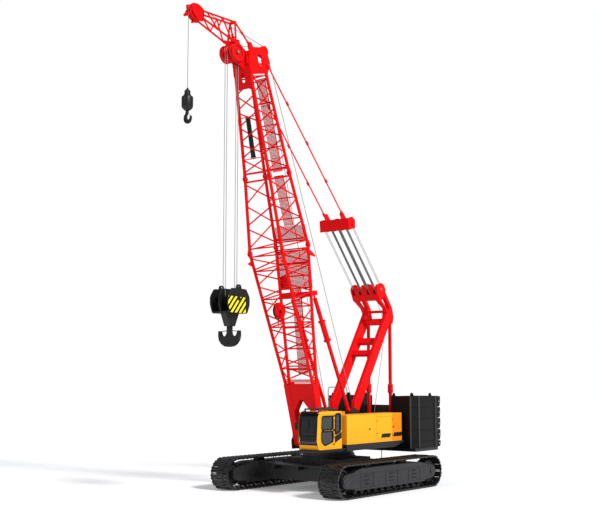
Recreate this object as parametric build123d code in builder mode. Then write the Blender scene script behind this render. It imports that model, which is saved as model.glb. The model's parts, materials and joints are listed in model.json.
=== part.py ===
"""Crawler crane with a lattice boom, built as separate sub-components in one frame.

Frame: +X is the machine's front, +Y its left (the cab side), +Z up.
The origin lies on the ground under the slewing axis. All sizes are in mm.
"""
import math
import os
from collections import namedtuple

from build123d import *

os.makedirs("parts", exist_ok=True)

# Undercarriage
TRACK_Y = 3200.0
SHOE_WIDTH = 1100.0
TRACK_HEIGHT = 1530.0
WHEEL_X = 3665.0
WHEEL_Z = TRACK_HEIGHT / 2
SHOE_THICK = 150.0
SHOE_COUNT = 60
WHEEL_R = 594.0
AXLE_R = 120.0
FIT = 0.3
FRAME_HALF = 450.0
FRAME_IN, FRAME_OUT = TRACK_Y - FRAME_HALF, TRACK_Y + FRAME_HALF
ROLLER_R = 130.0

# Upper structure
RING_Z = 1700.0
DECK_Z0 = 1930.0
DECK_Z1 = 2220.0
HOUSE_X0 = -3340.0
HOUSE_FRONT = {1: 1540.0, -1: 100.0}
HOUSE_Y0, HOUSE_Y1 = 1150.0, 2200.0
HOUSE_Z1 = 3580.0
WALL = 40.0
CW_X0, CW_X1 = -5800.0, -3550.0
CW_Y0, CW_Y1 = 1320.0, 2790.0
CW_Z0, CW_Z1 = 1800.0, 4400.0
BASE_SLAB = 340.0
SLABS = 4
HOOD_X = (-5500.0, -4780.0)
HOOD_Z1 = 3900.0

# Boom
FOOT = (1470.0, 0.0, 2250.0)
BOOM_ANGLE = 75.2
CHORD_R = 75.0
BRACE_R = 34.0
S_LEG, S_J2, S_J1, S_TIP = 2800.0, 9400.0, 12890.0, 17660.0
NEST_S, NEST_N = 18600.0, 1100.0
NEST_R = 420.0
NEST_PIN_R = 60.0
FALL_Y = 67.0
NOSE_Y0, NOSE_Y1 = 2 * FALL_Y + 6, 2 * FALL_Y + 56
ROPE_R = 14.0
GROOVE_R = 360.0
FALL_R = GROOVE_R + ROPE_R + FIT
TIP_X, TIP_Z = 9770.0, 21180.0
TIP_GROOVE_R = 325.0
AUX_X = TIP_X + TIP_GROOVE_R + ROPE_R + FIT

COS_B = math.cos(math.radians(BOOM_ANGLE))
SIN_B = math.sin(math.radians(BOOM_ANGLE))


def boom_xz(s, n):
    """World X and Z of the boom point at s along its axis and n to its front."""
    return (FOOT[0] + s * COS_B + n * SIN_B, FOOT[2] + s * SIN_B - n * COS_B)


def boom_pt(s, n, y):
    """World point of the boom's own coordinates."""
    x, z = boom_xz(s, n)
    return (x, y, z)


def block(x0, x1, y0, y1, z0, z1):
    """A box between two corners."""
    size = (abs(x1 - x0), abs(y1 - y0), abs(z1 - z0))
    at = Location(((x0 + x1) / 2, (y0 + y1) / 2, (z0 + z1) / 2))
    return at * Solid.make_box(*size, Plane((-size[0] / 2, -size[1] / 2, -size[2] / 2)))


def face_of(points):
    """A flat face inside a closed outline."""
    return Face(Wire.make_polygon([Vector(*p) for p in points], close=True))


def plate_xz(outline, y0, y1):
    """An outline in X and Z, extruded from y0 to y1."""
    return Solid.extrude(face_of([(x, y0, z) for x, z in outline]), Vector(0, y1 - y0, 0))


def plate_xy(outline, z0, z1):
    """An outline in X and Y, extruded from z0 to z1."""
    return Solid.extrude(face_of([(x, y, z0) for x, y in outline]), Vector(0, 0, z1 - z0))


def plate_yz(outline, x0, x1):
    """An outline in Y and Z, extruded from x0 to x1."""
    return Solid.extrude(face_of([(x0, y, z) for y, z in outline]), Vector(x1 - x0, 0, 0))


def plate_boom(outline, y0, y1):
    """An outline in the boom's s and n, extruded from y0 to y1."""
    return plate_xz([boom_xz(s, n) for s, n in outline], y0, y1)


def flat_boom(outline, n0, n1):
    """An outline in the boom's s and y, extruded from n0 to n1."""
    push = Vector((n1 - n0) * SIN_B, 0, -(n1 - n0) * COS_B)
    return Solid.extrude(face_of([boom_pt(s, n0, y) for s, y in outline]), push)


def rod(a, b, r):
    """A round bar from a to b."""
    a, b = Vector(*a), Vector(*b)
    return Solid.make_cylinder(r, (b - a).length, Plane(origin=a, z_dir=b - a))


def turn_of(profile, centre, axis=(0, 1, 0)):
    """A closed profile of (along, radius) pairs turned about an axis through centre."""
    plane = Plane(origin=centre, z_dir=axis)
    line = [plane.from_local_coords((r, 0, along)) for along, r in profile]
    return Solid.revolve(Face(Wire.make_polygon(line, close=True)), 360, Axis(centre, axis))


def mirrored(half):
    """A whole turned profile from its half, listed from one end to the middle."""
    return half + [(-along, r) for along, r in half[::-1]]


def curved_face(place, start, moves):
    """A flat face; each move goes straight to a point, or by an arc via one point to another."""
    edges, here = [], Vector(*place(*start))
    for *via, goal in moves:
        there = Vector(*place(*goal))
        if via:
            edges.append(Edge.make_three_point_arc(here, Vector(*place(*via[0])), there))
        else:
            edges.append(Edge.make_line(here, there))
        here = there
    return Face(Wire(edges))


def prism(a, b, r, sides, towards=None):
    """A bar with a regular polygon section from a to b, one corner turned towards a side."""
    a, b = Vector(*a), Vector(*b)
    plane = Plane(origin=a, x_dir=towards, z_dir=b - a)
    ring = [
        plane.from_local_coords(
            (r * math.cos(math.tau * k / sides), r * math.sin(math.tau * k / sides), 0)
        )
        for k in range(sides)
    ]
    return Solid.extrude(Face(Wire.make_polygon(ring, close=True)), b - a)


def chord(a, b):
    """One main tube of the lattice."""
    return prism(a, b, CHORD_R, 8)


def brace(a, b, r=BRACE_R):
    """One thin tube of the lattice."""
    return prism(a, b, r, 6)


def rope(a, b, r, towards):
    """One straight rope, an eight-sided bar with a corner turned to its sheave."""
    return prism(a, b, r, 8, towards)


def strut(a, b, half, y0, y1):
    """A flat-sided bar in X and Z from a to b, its half width given."""
    dx, dz = b[0] - a[0], b[1] - a[1]
    long = math.hypot(dx, dz)
    px, pz = -dz / long * half, dx / long * half
    ends = [
        (a[0] + px, a[1] + pz),
        (b[0] + px, b[1] + pz),
        (b[0] - px, b[1] - pz),
        (a[0] - px, a[1] - pz),
    ]
    return plate_xz(ends, y0, y1)


def cut(body, *tools):
    """A body less the given solids."""
    for tool in tools:
        body = body - tool
    return body


# Undercarriage: carbody with its cross beams and the fixed half of the slewing ring.
with BuildPart() as carbody:
    add(block(-1400, 1400, -1500, 1500, 450, 1500))
    for side in (-1, 1):
        add(block(side * 1400, side * 2050, -FRAME_IN, FRAME_IN, 500, 1250))
        add(block(-1400, 1400, side * 1500, side * 1750, 600, 1400))
    add(rod((0, 0, 1500), (0, 0, RING_Z), 1250))
carbody.part.label = "carbody"

with BuildPart() as undercarriage_steps:
    for side in (-1, 1):
        add(block(side * 2050, side * 2550, -1500, 1500, 1210, 1250))
        for y in (-1450, 0, 1400):
            add(block(side * 2050, side * 2500, y, y + 50, 1000, 1210))
undercarriage_steps.part.label = "undercarriage_steps"


def track_frame_of(side):
    """One side frame with its lower rollers and upper skids."""
    mid = [(-2950, 330), (2950, 330), (2950, 1180), (2500, 1270), (-2500, 1270), (-2950, 1180)]
    cheek = [
        (-3900, 600),
        (-3750, 480),
        (-2950, 400),
        (2950, 400),
        (3750, 480),
        (3900, 600),
        (3900, 930),
        (3750, 1050),
        (2700, 1180),
        (-2700, 1180),
        (-3750, 1050),
        (-3900, 930),
    ]
    y0, y1 = side * FRAME_IN, side * FRAME_OUT
    body = plate_xz(mid, y0, y1)
    body = body + plate_xz(cheek, y0, side * (FRAME_IN + 180))
    body = body + plate_xz(cheek, side * (FRAME_OUT - 180), y1)
    low, top = SHOE_THICK + ROLLER_R + FIT, TRACK_HEIGHT - SHOE_THICK
    for x in range(-2700, 2701, 540):
        body = body + rod((x, side * (TRACK_Y - 250), low), (x, side * (TRACK_Y + 250), low), ROLLER_R)
    for x in (-1500, 1500):
        body = body + block(x - 250, x + 250, side * (TRACK_Y - 150), side * (TRACK_Y + 150), 1270, top)
    for x in (-WHEEL_X, WHEEL_X):
        ends = [(x, side * (TRACK_Y + out), WHEEL_Z) for out in (-FRAME_HALF - 100, FRAME_HALF + 100)]
        body = body - rod(*ends, AXLE_R + FIT)
    return body


with BuildPart() as track_frame_left:
    add(track_frame_of(1))
track_frame_left.part.label = "track_frame_left"

with BuildPart() as track_frame_right:
    add(track_frame_of(-1))
track_frame_right.part.label = "track_frame_right"


def loop_point(t, out):
    """Point of the track's path at length t, moved outwards by out."""
    r = WHEEL_Z - SHOE_THICK
    flat, arc = 2 * WHEEL_X, math.pi * r
    t = t % (2 * (flat + arc))
    if t < flat:
        return (-WHEEL_X + t, -out + SHOE_THICK)
    if t < flat + arc:
        a = -math.pi / 2 + (t - flat) / r
        return (WHEEL_X + (r + out) * math.cos(a), WHEEL_Z + (r + out) * math.sin(a))
    if t < 2 * flat + arc:
        return (WHEEL_X - (t - flat - arc), TRACK_HEIGHT - SHOE_THICK + out)
    a = math.pi / 2 + (t - 2 * flat - arc) / r
    return (-WHEEL_X + (r + out) * math.cos(a), WHEEL_Z + (r + out) * math.sin(a))


def track_of(side):
    """One closed track, its shoes cut into the outer outline."""
    r = WHEEL_Z - SHOE_THICK
    pitch = 2 * (2 * WHEEL_X + math.pi * r) / SHOE_COUNT
    outer, inner = [], []
    for k in range(SHOE_COUNT):
        t0 = k * pitch
        for part, out in ((0.04, 70), (0.09, SHOE_THICK), (0.91, SHOE_THICK), (0.96, 70)):
            outer.append(loop_point(t0 + part * pitch, out))
        inner.append(loop_point(t0, 0))
    y0, y1 = side * (TRACK_Y - SHOE_WIDTH / 2), side * (TRACK_Y + SHOE_WIDTH / 2)
    return plate_xz(outer, y0, y1) - plate_xz(inner, y0 - side * 5, y1 + side * 5)


with BuildPart() as track_left:
    add(track_of(1))
track_left.part.label = "track_left"

with BuildPart() as track_right:
    add(track_of(-1))
track_right.part.label = "track_right"


def wheels_at(x):
    """The pair of end wheels at one end, each turned with its axle and guide rib."""
    end = FRAME_HALF - 10
    half = [
        (end, 0),
        (end, AXLE_R),
        (240, AXLE_R),
        (240, WHEEL_R - 60),
        (100, WHEEL_R - 60),
        (100, WHEEL_R - FIT),
    ]
    return [turn_of(mirrored(half), (x, side * TRACK_Y, WHEEL_Z)) for side in (-1, 1)]


with BuildPart() as idlers:
    add(wheels_at(WHEEL_X))
idlers.part.label = "idlers"

with BuildPart() as sprockets:
    add(wheels_at(-WHEEL_X))
sprockets.part.label = "sprockets"

# Upper structure: deck with the turning half of the ring, boom lugs and winch brackets.
LUG = namedtuple("LUG", "y0 y1")
FOOT_LUGS = (LUG(390.0, 465.0), LUG(840.0, 915.0))
POST_PLATES = (LUG(520, 575), LUG(785, 840))
FOOT_PIN_R = 80.0
SHAFT_R = 60.0
Winch = namedtuple("Winch", "x z r flange")
HOIST = Winch(150.0, 2900.0, 330.0, 470.0)
AUX = Winch(-2050.0, 2850.0, 300.0, 430.0)
LUFF = Winch(-3050.0, 2850.0, 300.0, 430.0)
DRUM_Y = 460.0
STOP_FOOT = (-830.0, 3520.0)
STOP_TOP = (2080.0, 9270.0)
STOP_Y = 680.0
STOP_R = 90.0

with BuildPart() as revolving_deck:
    add(rod((0, 0, RING_Z + FIT), (0, 0, DECK_Z0), 1200))
    add(block(-5500, 1100, -HOUSE_Y0, HOUSE_Y0, DECK_Z0, DECK_Z1))
    for side in (-1, 1):
        front = HOUSE_FRONT[side]
        add(block(HOUSE_X0, front, side * HOUSE_Y0, side * HOUSE_Y1, DECK_Z1 - 60, DECK_Z1))
        rim = [(HOUSE_X0, DECK_Z1), (-2500, DECK_Z0), (front, DECK_Z0), (front, DECK_Z1)]
        add(plate_xz(rim, side * (HOUSE_Y1 - 90), side * HOUSE_Y1))
        lug = [(900, DECK_Z0), (1750, DECK_Z0), (1800, 2350), (1650, 2560), (1290, 2560), (900, 2300)]
        for y0, y1 in FOOT_LUGS:
            add(plate_xz(lug, side * y0, side * y1))
        post = [(-1500, DECK_Z1), (-500, DECK_Z1), (-650, 3700), (-1000, 3860), (-1450, 3700)]
        for y0, y1 in POST_PLATES:
            add(plate_xz(post, side * y0, side * y1))
        for w in (HOIST, AUX, LUFF):
            arm = [(w.x - 350, DECK_Z1), (w.x + 350, DECK_Z1), (w.x + 120, w.z + 150), (w.x - 120, w.z + 150)]
            add(plate_xz(arm, side * 470, side * 510))
    add(block(900, 3650, 1020, 2100, DECK_Z0, 2070))
    add(block(-5400, -3700, -1100, 1100, CW_Z0, DECK_Z0))
    add(block(CW_X0, -3600, -CW_Y1 + 60, CW_Y1 - 60, 1640, 1800))
    add(block(*HOOD_X, -1100, 1100, DECK_Z1, HOOD_Z1))
    for side in (-1, 1):
        hole = rod((FOOT[0], side * 300, FOOT[2]), (FOOT[0], side * 1000, FOOT[2]), FOOT_PIN_R + FIT)
        add(hole, mode=Mode.SUBTRACT)
        for w in (HOIST, AUX, LUFF):
            hole = rod((w.x, side * 440, w.z), (w.x, side * 540, w.z), SHAFT_R + FIT)
            add(hole, mode=Mode.SUBTRACT)
        x, z = STOP_FOOT
        add(rod((x, side * 500, z), (x, side * 900, z), SHAFT_R + FIT), mode=Mode.SUBTRACT)
revolving_deck.part.label = "revolving_deck"

Panel = namedtuple("Panel", "x0 x1 z0 z1")
HOUSE_DOOR = Panel(-2300.0, -900.0, 2380.0, 3440.0)


def house_of(side):
    """One hollow machinery house, open below, its door opening cut."""
    y0, y1 = side * HOUSE_Y0, side * HOUSE_Y1
    body = block(HOUSE_X0, HOUSE_FRONT[side], y0, y1, DECK_Z1, HOUSE_Z1)
    hollow = block(
        HOUSE_X0 + WALL,
        HOUSE_FRONT[side] - WALL,
        y0 + side * WALL,
        y1 - side * WALL,
        DECK_Z1 - 10,
        HOUSE_Z1 - WALL,
    )
    d = HOUSE_DOOR
    gate = block(d.x0, d.x1, y1 - side * 100, y1 + side * 10, d.z0, d.z1)
    return cut(body, hollow, gate)


with BuildPart() as house_left:
    add(house_of(1))
house_left.part.label = "house_left"

with BuildPart() as house_right:
    add(house_of(-1))
house_right.part.label = "house_right"


def house_door_of(side):
    """The hinged panel of one house, clear of its opening all round."""
    d = HOUSE_DOOR
    y1 = side * HOUSE_Y1
    return block(d.x0 + FIT, d.x1 - 8, y1 - side * 30, y1, d.z0 + 8, d.z1 - 8)


with BuildPart() as house_door_left:
    add(house_door_of(1))
house_door_left.part.label = "house_door_left"

with BuildPart() as house_door_right:
    add(house_door_of(-1))
house_door_right.part.label = "house_door_right"

with BuildPart() as engine_block:
    add(block(-2400, -300, -1950, -1300, DECK_Z1, 3250))
engine_block.part.label = "engine_block"

with BuildPart() as roof_box:
    add(block(-2300, -1300, -2050, -1400, HOUSE_Z1, 3820))
roof_box.part.label = "roof_box"


RAIL_Z = 4850.0
RAIL_R = 20.0


def rail_loop(x0, x1, y):
    """One guard rail with sloped upper corners, its feet on the house roof."""
    corner = 150
    line = [(x0, HOUSE_Z1), (x0, RAIL_Z - corner), (x0 + corner, RAIL_Z)]
    line += [(x1 - corner, RAIL_Z), (x1, RAIL_Z - corner), (x1, HOUSE_Z1)]
    bars = [brace((a, y, c), (b, y, d), RAIL_R) for (a, c), (b, d) in zip(line, line[1:])]
    middle = (HOUSE_Z1 + RAIL_Z) / 2
    return bars + [brace((x0, y, middle), (x1, y, middle), RAIL_R)]


with BuildPart() as roof_rails:
    for x0, x1 in ((-3250, -2500), (-2350, -1600)):
        add(rail_loop(x0, x1, -HOUSE_Y0 - 60))
roof_rails.part.label = "roof_rails"


Slab = namedtuple("Slab", "z0 z1")
SLAB_STEP = (CW_Z1 - CW_Z0 - BASE_SLAB) / SLABS
STACK = [Slab(CW_Z0, CW_Z0 + BASE_SLAB)]
STACK += [Slab(STACK[0].z1 + k * SLAB_STEP, STACK[0].z1 + (k + 1) * SLAB_STEP) for k in range(SLABS)]
LOBE = 190.0


def lobe_of(slab):
    """The rounded rear end of one slab, its lower part drawn in by an arc."""
    z0, z1 = slab.z0 + 15, slab.z1 - 15
    outline = curved_face(
        lambda x, z: (x, CW_Y1 - 300, z),
        (CW_X0 + 60, z0),
        [
            ((CW_X0 - LOBE * 0.55, z0),),
            ((CW_X0 - LOBE * 0.95, z0 + (z1 - z0) * 0.4), (CW_X0 - LOBE, z1 - 40)),
            ((CW_X0 - LOBE + 30, z1),),
            ((CW_X0 + 60, z1),),
            ((CW_X0 + 60, z0),),
        ],
    )
    return Solid.extrude(outline, Vector(0, 300, 0))


def stack_of(side):
    """One counterweight stack: slabs with grooves between, corner ridges, lobes and lugs."""
    base = [(CW_X1, CW_Y0), (CW_X1, 2490), (-3870, CW_Y1), (CW_X0, CW_Y1), (CW_X0, CW_Y0)]
    core = [(x + (40 if x < -4000 else -40), y + (40 if y < 1500 else -40)) for x, y in base]
    body = plate_xy(core, CW_Z0, CW_Z1)
    for slab in STACK:
        body = body + plate_xy(base, slab.z0 + 8, slab.z1 - 8) + lobe_of(slab)
    for x, y in ((CW_X1, 2490), (-3870, CW_Y1), (-5480, CW_Y1)):
        body = body + prism((x, y, CW_Z0), (x, y, CW_Z1), 50, 8)
    lug = [(-130, CW_Z1 - 30), (130, CW_Z1 - 30), (50, CW_Z1 + 150), (-50, CW_Z1 + 150)]
    for x, y in ((-3650, 1450), (-3750, 2480), (-5350, 2560), (-5350, 1450)):
        body = body + plate_xz([(x + dx, z) for dx, z in lug], y - 30, y + 30)
    return body if side > 0 else body.mirror(Plane.XZ)


with BuildPart() as counterweight_left:
    add(stack_of(1))
counterweight_left.part.label = "counterweight_left"

with BuildPart() as counterweight_right:
    add(stack_of(-1))
counterweight_right.part.label = "counterweight_right"

# Gantry
LEG_FOOT = (-1180.0, 3430.0)
KNEE = (-4400.0, 8600.0)
LEG_Y0, LEG_Y1 = 575.0, 785.0
BOX_X, BOX_Z = -3510.0, 9910.0
BACK_TOP = 8150.0
Beam = namedtuple("Beam", "low high half")
LEG_BEAMS = (
    Beam((-2850, 6450), (-3000, 6700), 100),
    Beam((-3420, 7060), (-3590, 7340), 110),
    Beam((-3980, 8130), (-4120, 8350), 130),
)
BAIL_X, BAIL_Z = -820.0, 13000.0
PACK_R = 250.0
PACK_Y = (-660.0, -240.0, 240.0, 660.0)

def rope_slots(x0, x1, z0, z1):
    """The room that the luffing ropes need in a cover plate."""
    return [block(x0, x1, y - 75, y + 75, z0, z1) for y in PACK_Y]


with BuildPart() as gantry_legs:
    for side in (-1, 1):
        taper = [(-1330, 3330), (-1030, 3530), (-1150, 4150), (-4090, 8700), (-4530, 8420), (-1620, 3900)]
        add(plate_xz(taper, side * LEG_Y0, side * LEG_Y1))
    for low, high, half in LEG_BEAMS:
        add(strut(low, high, half, -LEG_Y0, LEG_Y0))
gantry_legs.part.label = "gantry_legs"

with BuildPart() as gantry_head:
    for side in (-1, 1):
        arm = [
            (-4740, 8520),
            (-4640, BACK_TOP),
            (-4420, BACK_TOP),
            (-4530, 8420),
            (-4090, 8700),
            (-3950, 8950),
            (-3330, 9330),
            (-3930, 9860),
            (-4600, 9000),
        ]
        window = [(-4330, 8850), (-4080, 8960), (-3620, 9330), (-3860, 9600), (-4300, 9050)]
        plate = plate_xz(arm, side * LEG_Y0, side * LEG_Y1)
        add(plate - plate_xz(window, side * (LEG_Y0 - 20), side * (LEG_Y1 + 20)))
    add(strut((-3330, 9330), (-3930, 9860), 30, -LEG_Y1, LEG_Y1))
    add(block(-4560, -4420, -LEG_Y0, LEG_Y0, 8740, 8880))
    cheek = [(-3360, 9300), (-3060, 9900), (-3200, 10150), (-3500, 10250), (-3800, 10140), (-3960, 9850)]
    for y0, y1 in ((-LEG_Y1 - 50, -LEG_Y1), (-25, 25), (LEG_Y1, LEG_Y1 + 50)):
        add(plate_xz(cheek, y0, y1))
    add(cut(strut((-3330, 9330), (-3080, 9900), 20, -LEG_Y1, LEG_Y1), *rope_slots(-3500, -2900, 9640, 10100)))
    add(rod((BOX_X, -LEG_Y1, BOX_Z), (BOX_X, LEG_Y1, BOX_Z), 70))
    for y in PACK_Y:
        add(rod((BOX_X, y - 80, BOX_Z), (BOX_X, y + 80, BOX_Z), PACK_R))
gantry_head.part.label = "gantry_head"

with BuildPart() as back_legs:
    for side in (-1, 1):
        add(block(-4580, -4450, side * 610, side * 750, DECK_Z1, BACK_TOP))
        add(block(-4620, -4410, side * 590, side * 770, 4540, 5000))
        add(block(-4700, -4330, side * 560, side * 800, DECK_Z1, 2700))
back_legs.part.label = "back_legs"


def drum_of(w):
    """A winch drum with its flanges and shaft ends."""
    half = [
        (DRUM_Y + 45, 0),
        (DRUM_Y + 45, SHAFT_R),
        (DRUM_Y, SHAFT_R),
        (DRUM_Y, w.flange),
        (DRUM_Y - 40, w.flange),
        (DRUM_Y - 40, w.r),
    ]
    return turn_of(mirrored(half), (w.x, 0, w.z))


with BuildPart() as hoist_drum:
    add(drum_of(HOIST))
hoist_drum.part.label = "hoist_drum"

with BuildPart() as aux_drum:
    add(drum_of(AUX))
aux_drum.part.label = "aux_drum"

with BuildPart() as luffing_drum:
    add(drum_of(LUFF))
luffing_drum.part.label = "luffing_drum"

# Cab
CAB_Y0, CAB_Y1 = 1020.0, 2120.0
CAB_SIDE = [(1820, 2070), (3560, 2070), (3730, 2450), (3650, 3560), (3480, 3780), (1820, 3780)]
CAB_HOLLOW = [(1870, 2130), (3530, 2130), (3675, 2455), (3600, 3545), (3455, 3725), (1870, 3725)]
DOOR = [(2420, 2140), (3380, 2140), (3500, 2450), (3450, 3640), (2420, 3640)]
SIDE_WIN = [(1950, 2900), (2300, 2750), (2300, 3620), (1950, 3620)]
FAR_WIN = [(2050, 2800), (3450, 2600), (3420, 3600), (2050, 3600)]
DOOR_WIN_UP = [(2520, 2980), (3390, 2980), (3360, 3560), (2520, 3560)]
DOOR_WIN_LOW = [(2520, 2420), (3150, 2260), (3400, 2460), (3395, 2880), (2520, 2880)]


def shrink(outline, gap):
    """The outline moved inwards by gap, for outlines that run one way round."""
    n = len(outline)
    area = sum(
        outline[i][0] * outline[(i + 1) % n][1] - outline[(i + 1) % n][0] * outline[i][1]
        for i in range(n)
    )
    turn = 1 if area > 0 else -1
    lines = []
    for i in range(n):
        (x0, z0), (x1, z1) = outline[i], outline[(i + 1) % n]
        long = math.hypot(x1 - x0, z1 - z0)
        nx, nz = -(z1 - z0) / long * turn, (x1 - x0) / long * turn
        lines.append((nx, nz, nx * x0 + nz * z0 + gap))
    out = []
    for i in range(n):
        (a, b, c), (d, e, f) = lines[i - 1], lines[i]
        det = a * e - b * d
        out.append(((c * e - b * f) / det, (a * f - c * d) / det))
    return out


with BuildPart() as cab_shell:
    body = plate_xz(CAB_SIDE, CAB_Y0, CAB_Y1) - plate_xz(CAB_HOLLOW, CAB_Y0 + 50, CAB_Y1 - 50)
    body = body - plate_xz(DOOR, CAB_Y1 - 80, CAB_Y1 + 10)
    body = body - plate_xz(SIDE_WIN, CAB_Y1 - 80, CAB_Y1 + 10)
    body = body - plate_xz(FAR_WIN, CAB_Y0 - 10, CAB_Y0 + 80)
    body = body - block(3550, 3800, CAB_Y0 + 90, CAB_Y1 - 90, 2780, 3480)
    body = body - block(3500, 3800, CAB_Y0 + 90, CAB_Y1 - 90, 2300, 2700)
    body = body - block(2400, 3300, CAB_Y0 + 150, CAB_Y1 - 150, 3700, 3800)
    body = body - block(1800, 1900, CAB_Y0 + 150, CAB_Y1 - 150, 2900, 3600)
    add(body)
cab_shell.part.label = "cab_shell"

with BuildPart() as cab_door:
    edge = [(max(x - 8, DOOR[0][0] + FIT) if x < 2500 else x, z) for x, z in shrink(DOOR, 8)]
    body = plate_xz(edge, CAB_Y1 - 40, CAB_Y1)
    body = body - plate_xz(DOOR_WIN_UP, CAB_Y1 - 60, CAB_Y1 + 10)
    body = body - plate_xz(DOOR_WIN_LOW, CAB_Y1 - 60, CAB_Y1 + 10)
    add(body)
cab_door.part.label = "cab_door"

with BuildPart() as door_glass:
    add(plate_xz(DOOR_WIN_UP, CAB_Y1 - 24, CAB_Y1 - 16))
    add(plate_xz(DOOR_WIN_LOW, CAB_Y1 - 24, CAB_Y1 - 16))
door_glass.part.label = "door_glass"

PANE_Z = namedtuple("PANE_Z", "low bend high")


def cab_front(z):
    """X of the cab's front outline at height z."""
    if z < 2450:
        return 3560 + (z - 2070) * 170 / 380
    return 3730 - (z - 2450) * 80 / 1110


with BuildPart() as cab_glass:
    add(plate_xz(SIDE_WIN, CAB_Y1 - 28, CAB_Y1 - 20))
    add(plate_xz(FAR_WIN, CAB_Y0 + 20, CAB_Y0 + 28))
    for heights in (PANE_Z(2780, 3200, 3480), PANE_Z(2300, 2450, 2700)):
        line = [(cab_front(z), z) for z in heights]
        pane = [(x - 30, z) for x, z in line] + [(x - 20, z) for x, z in line[::-1]]
        add(plate_xz(pane, CAB_Y0 + 90, CAB_Y1 - 90))
    add(block(2400, 3300, CAB_Y0 + 150, CAB_Y1 - 150, 3750, 3760))
    add(block(1840, 1850, CAB_Y0 + 150, CAB_Y1 - 150, 2900, 3600))
cab_glass.part.label = "cab_glass"

with BuildPart() as operator_seat:
    add(block(2150, 2700, 1330, 1830, 2450, 2580))
    add(block(2060, 2200, 1350, 1810, 2580, 3250))
    add(block(2250, 2600, 1430, 1730, 2130, 2450))
    add(block(2150, 2750, 1180, 1290, 2130, 2750))
operator_seat.part.label = "operator_seat"

# Boom lattice
Section = namedtuple("Section", "s0 s1 w0 w1 d0 d1 bays frames")


def lattice(sec, flip=0):
    """Four chords, their end blocks, end frames and zigzag braces of one section."""
    bars = []

    def half(s):
        f = (s - sec.s0) / (sec.s1 - sec.s0)
        w = (sec.w0 + (sec.w1 - sec.w0) * f) / 2 - CHORD_R
        d = (sec.d0 + (sec.d1 - sec.d0) * f) / 2 - CHORD_R
        return w, d

    def corner(s, i, j):
        w, d = half(s)
        return boom_pt(s, j * d, i * w)

    for i in (-1, 1):
        for j in (-1, 1):
            bars.append(chord(corner(sec.s0 + 20, i, j), corner(sec.s1 - 20, i, j)))
    low, high = sec.s0 + 190, sec.s1 - 190
    for s in (low, high):
        for k in (-1, 1):
            bars.append(brace(corner(s, k, -1), corner(s, k, 1)))
            bars.append(brace(corner(s + 25, -1, k), corner(s + 25, 1, k)))
    step = (high - low) / sec.bays
    for b in sec.frames:
        s = low + b * step
        for k in (-1, 1):
            bars.append(brace(corner(s, k, -1), corner(s, k, 1)))
            bars.append(brace(corner(s, -1, k), corner(s, 1, k)))
    for b in range(sec.bays):
        s0, s1 = low + b * step + 60, low + (b + 1) * step - 60
        for k in (-1, 1):
            e = 1 if (b + flip + (k > 0)) % 2 else -1
            bars.append(brace(corner(s0, k, e), corner(s1, k, -e)))
            bars.append(brace(corner(s0 + 30, -e, k), corner(s1 - 30, e, k)))
    return bars


def end_blocks(sec, ends):
    """The pin lugs at the chord ends, square to the boom."""
    blocks = []
    for at, inward, w, d in ends:
        for i in (-1, 1):
            for j in (-1, 1):
                y, n = i * (w / 2 - CHORD_R), j * (d / 2 - CHORD_R)
                s0, s1 = at, at + inward * 160
                face = [(s0, y - 95), (s1, y - 95), (s1, y + 95), (s0, y + 95)]
                blocks.append(flat_boom(face, n - 95, n + 95))
    return blocks


WALK_GAP = 12.0
WALK_THICK = 30.0


def back_line(sec, s):
    """The walkway's underside at s: just behind the rear chords of a section."""
    f = (s - sec.s0) / (sec.s1 - sec.s0)
    return -(sec.d0 + (sec.d1 - sec.d0) * f) / 2 - WALK_GAP


def bearers(sec, places):
    """Flat cross bars from rear chord to rear chord, which carry the walkway."""
    bars = []
    for s in places:
        f = (s - sec.s0) / (sec.s1 - sec.s0)
        half = (sec.w0 + (sec.w1 - sec.w0) * f) / 2 - CHORD_R
        a, b = back_line(sec, s - 30), back_line(sec, s + 30)
        bars.append(plate_boom([(s - 30, a), (s + 30, b), (s + 30, b + 50), (s - 30, a + 50)], -half, half))
    return bars


def tread(sec, s0, s1, half):
    """One length of walkway, lying on the bearers."""
    a, b = back_line(sec, s0), back_line(sec, s1)
    return plate_boom([(s0, a), (s1, b), (s1, b - WALK_THICK), (s0, a - WALK_THICK)], -half, half)


SEC_FOOT = Section(S_LEG, S_J2, 1787.0, 2110.0, 420.0, 2130.0, 9, (1, 4, 6, 8))
SEC_INSERT = Section(S_J2, S_J1, 2110.0, 1620.0, 2130.0, 1640.0, 3, ())
SEC_HEAD = Section(S_J1, S_TIP, 1620.0, 1060.0, 1640.0, 1240.0, 6, ())

with BuildPart() as boom_foot:
    add(lattice(SEC_FOOT))
    add(end_blocks(SEC_FOOT, ((S_J2, -1, 2110.0, 2130.0),)))
    for side in (-1, 1):
        leg = [(0, 480), (0, 822), (2900, 896), (2900, 560)]
        add(flat_boom([(s, side * y) for s, y in leg], -215, 215))
        x, z = FOOT[0], FOOT[2]
        add(rod((x, side * 471, z), (x, side * 831, z), 235))
        add(rod((x, side * 370, z), (x, side * 935, z), FOOT_PIN_R))
        ear = [(6930, -660), (7170, -660), (7110, -1400), (6880, -1400)]
        for y0, y1 in ((590, 622), (738, 770)):
            add(plate_boom(ear, side * y0, side * y1))
    add(bearers(SEC_FOOT, (3500, 4500, 5500, 6500, 7350, 7950, 8550, 9130)))
    add(plate_boom([(6930, -735), (7180, -735), (7180, -655), (6930, -655)], -930, 930))
    web = [(1500, -530), (2850, -610), (2850, 610), (1500, 530), (2150, 60), (2150, -60)]
    add(flat_boom(web, -200, 200))
    fin = [(8900, -920), (9230, -960), (8800, -1420), (8700, -1400)]
    fork = [(9050, 1000), (8750, 940), (8920, 1230), (8980, 1240)]
    for side in (-1, 1):
        add(plate_boom(fork, side * 960, side * 990))
    add(plate_boom(fin, 970, 990))
boom_foot.part.label = "boom_foot"

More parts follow.
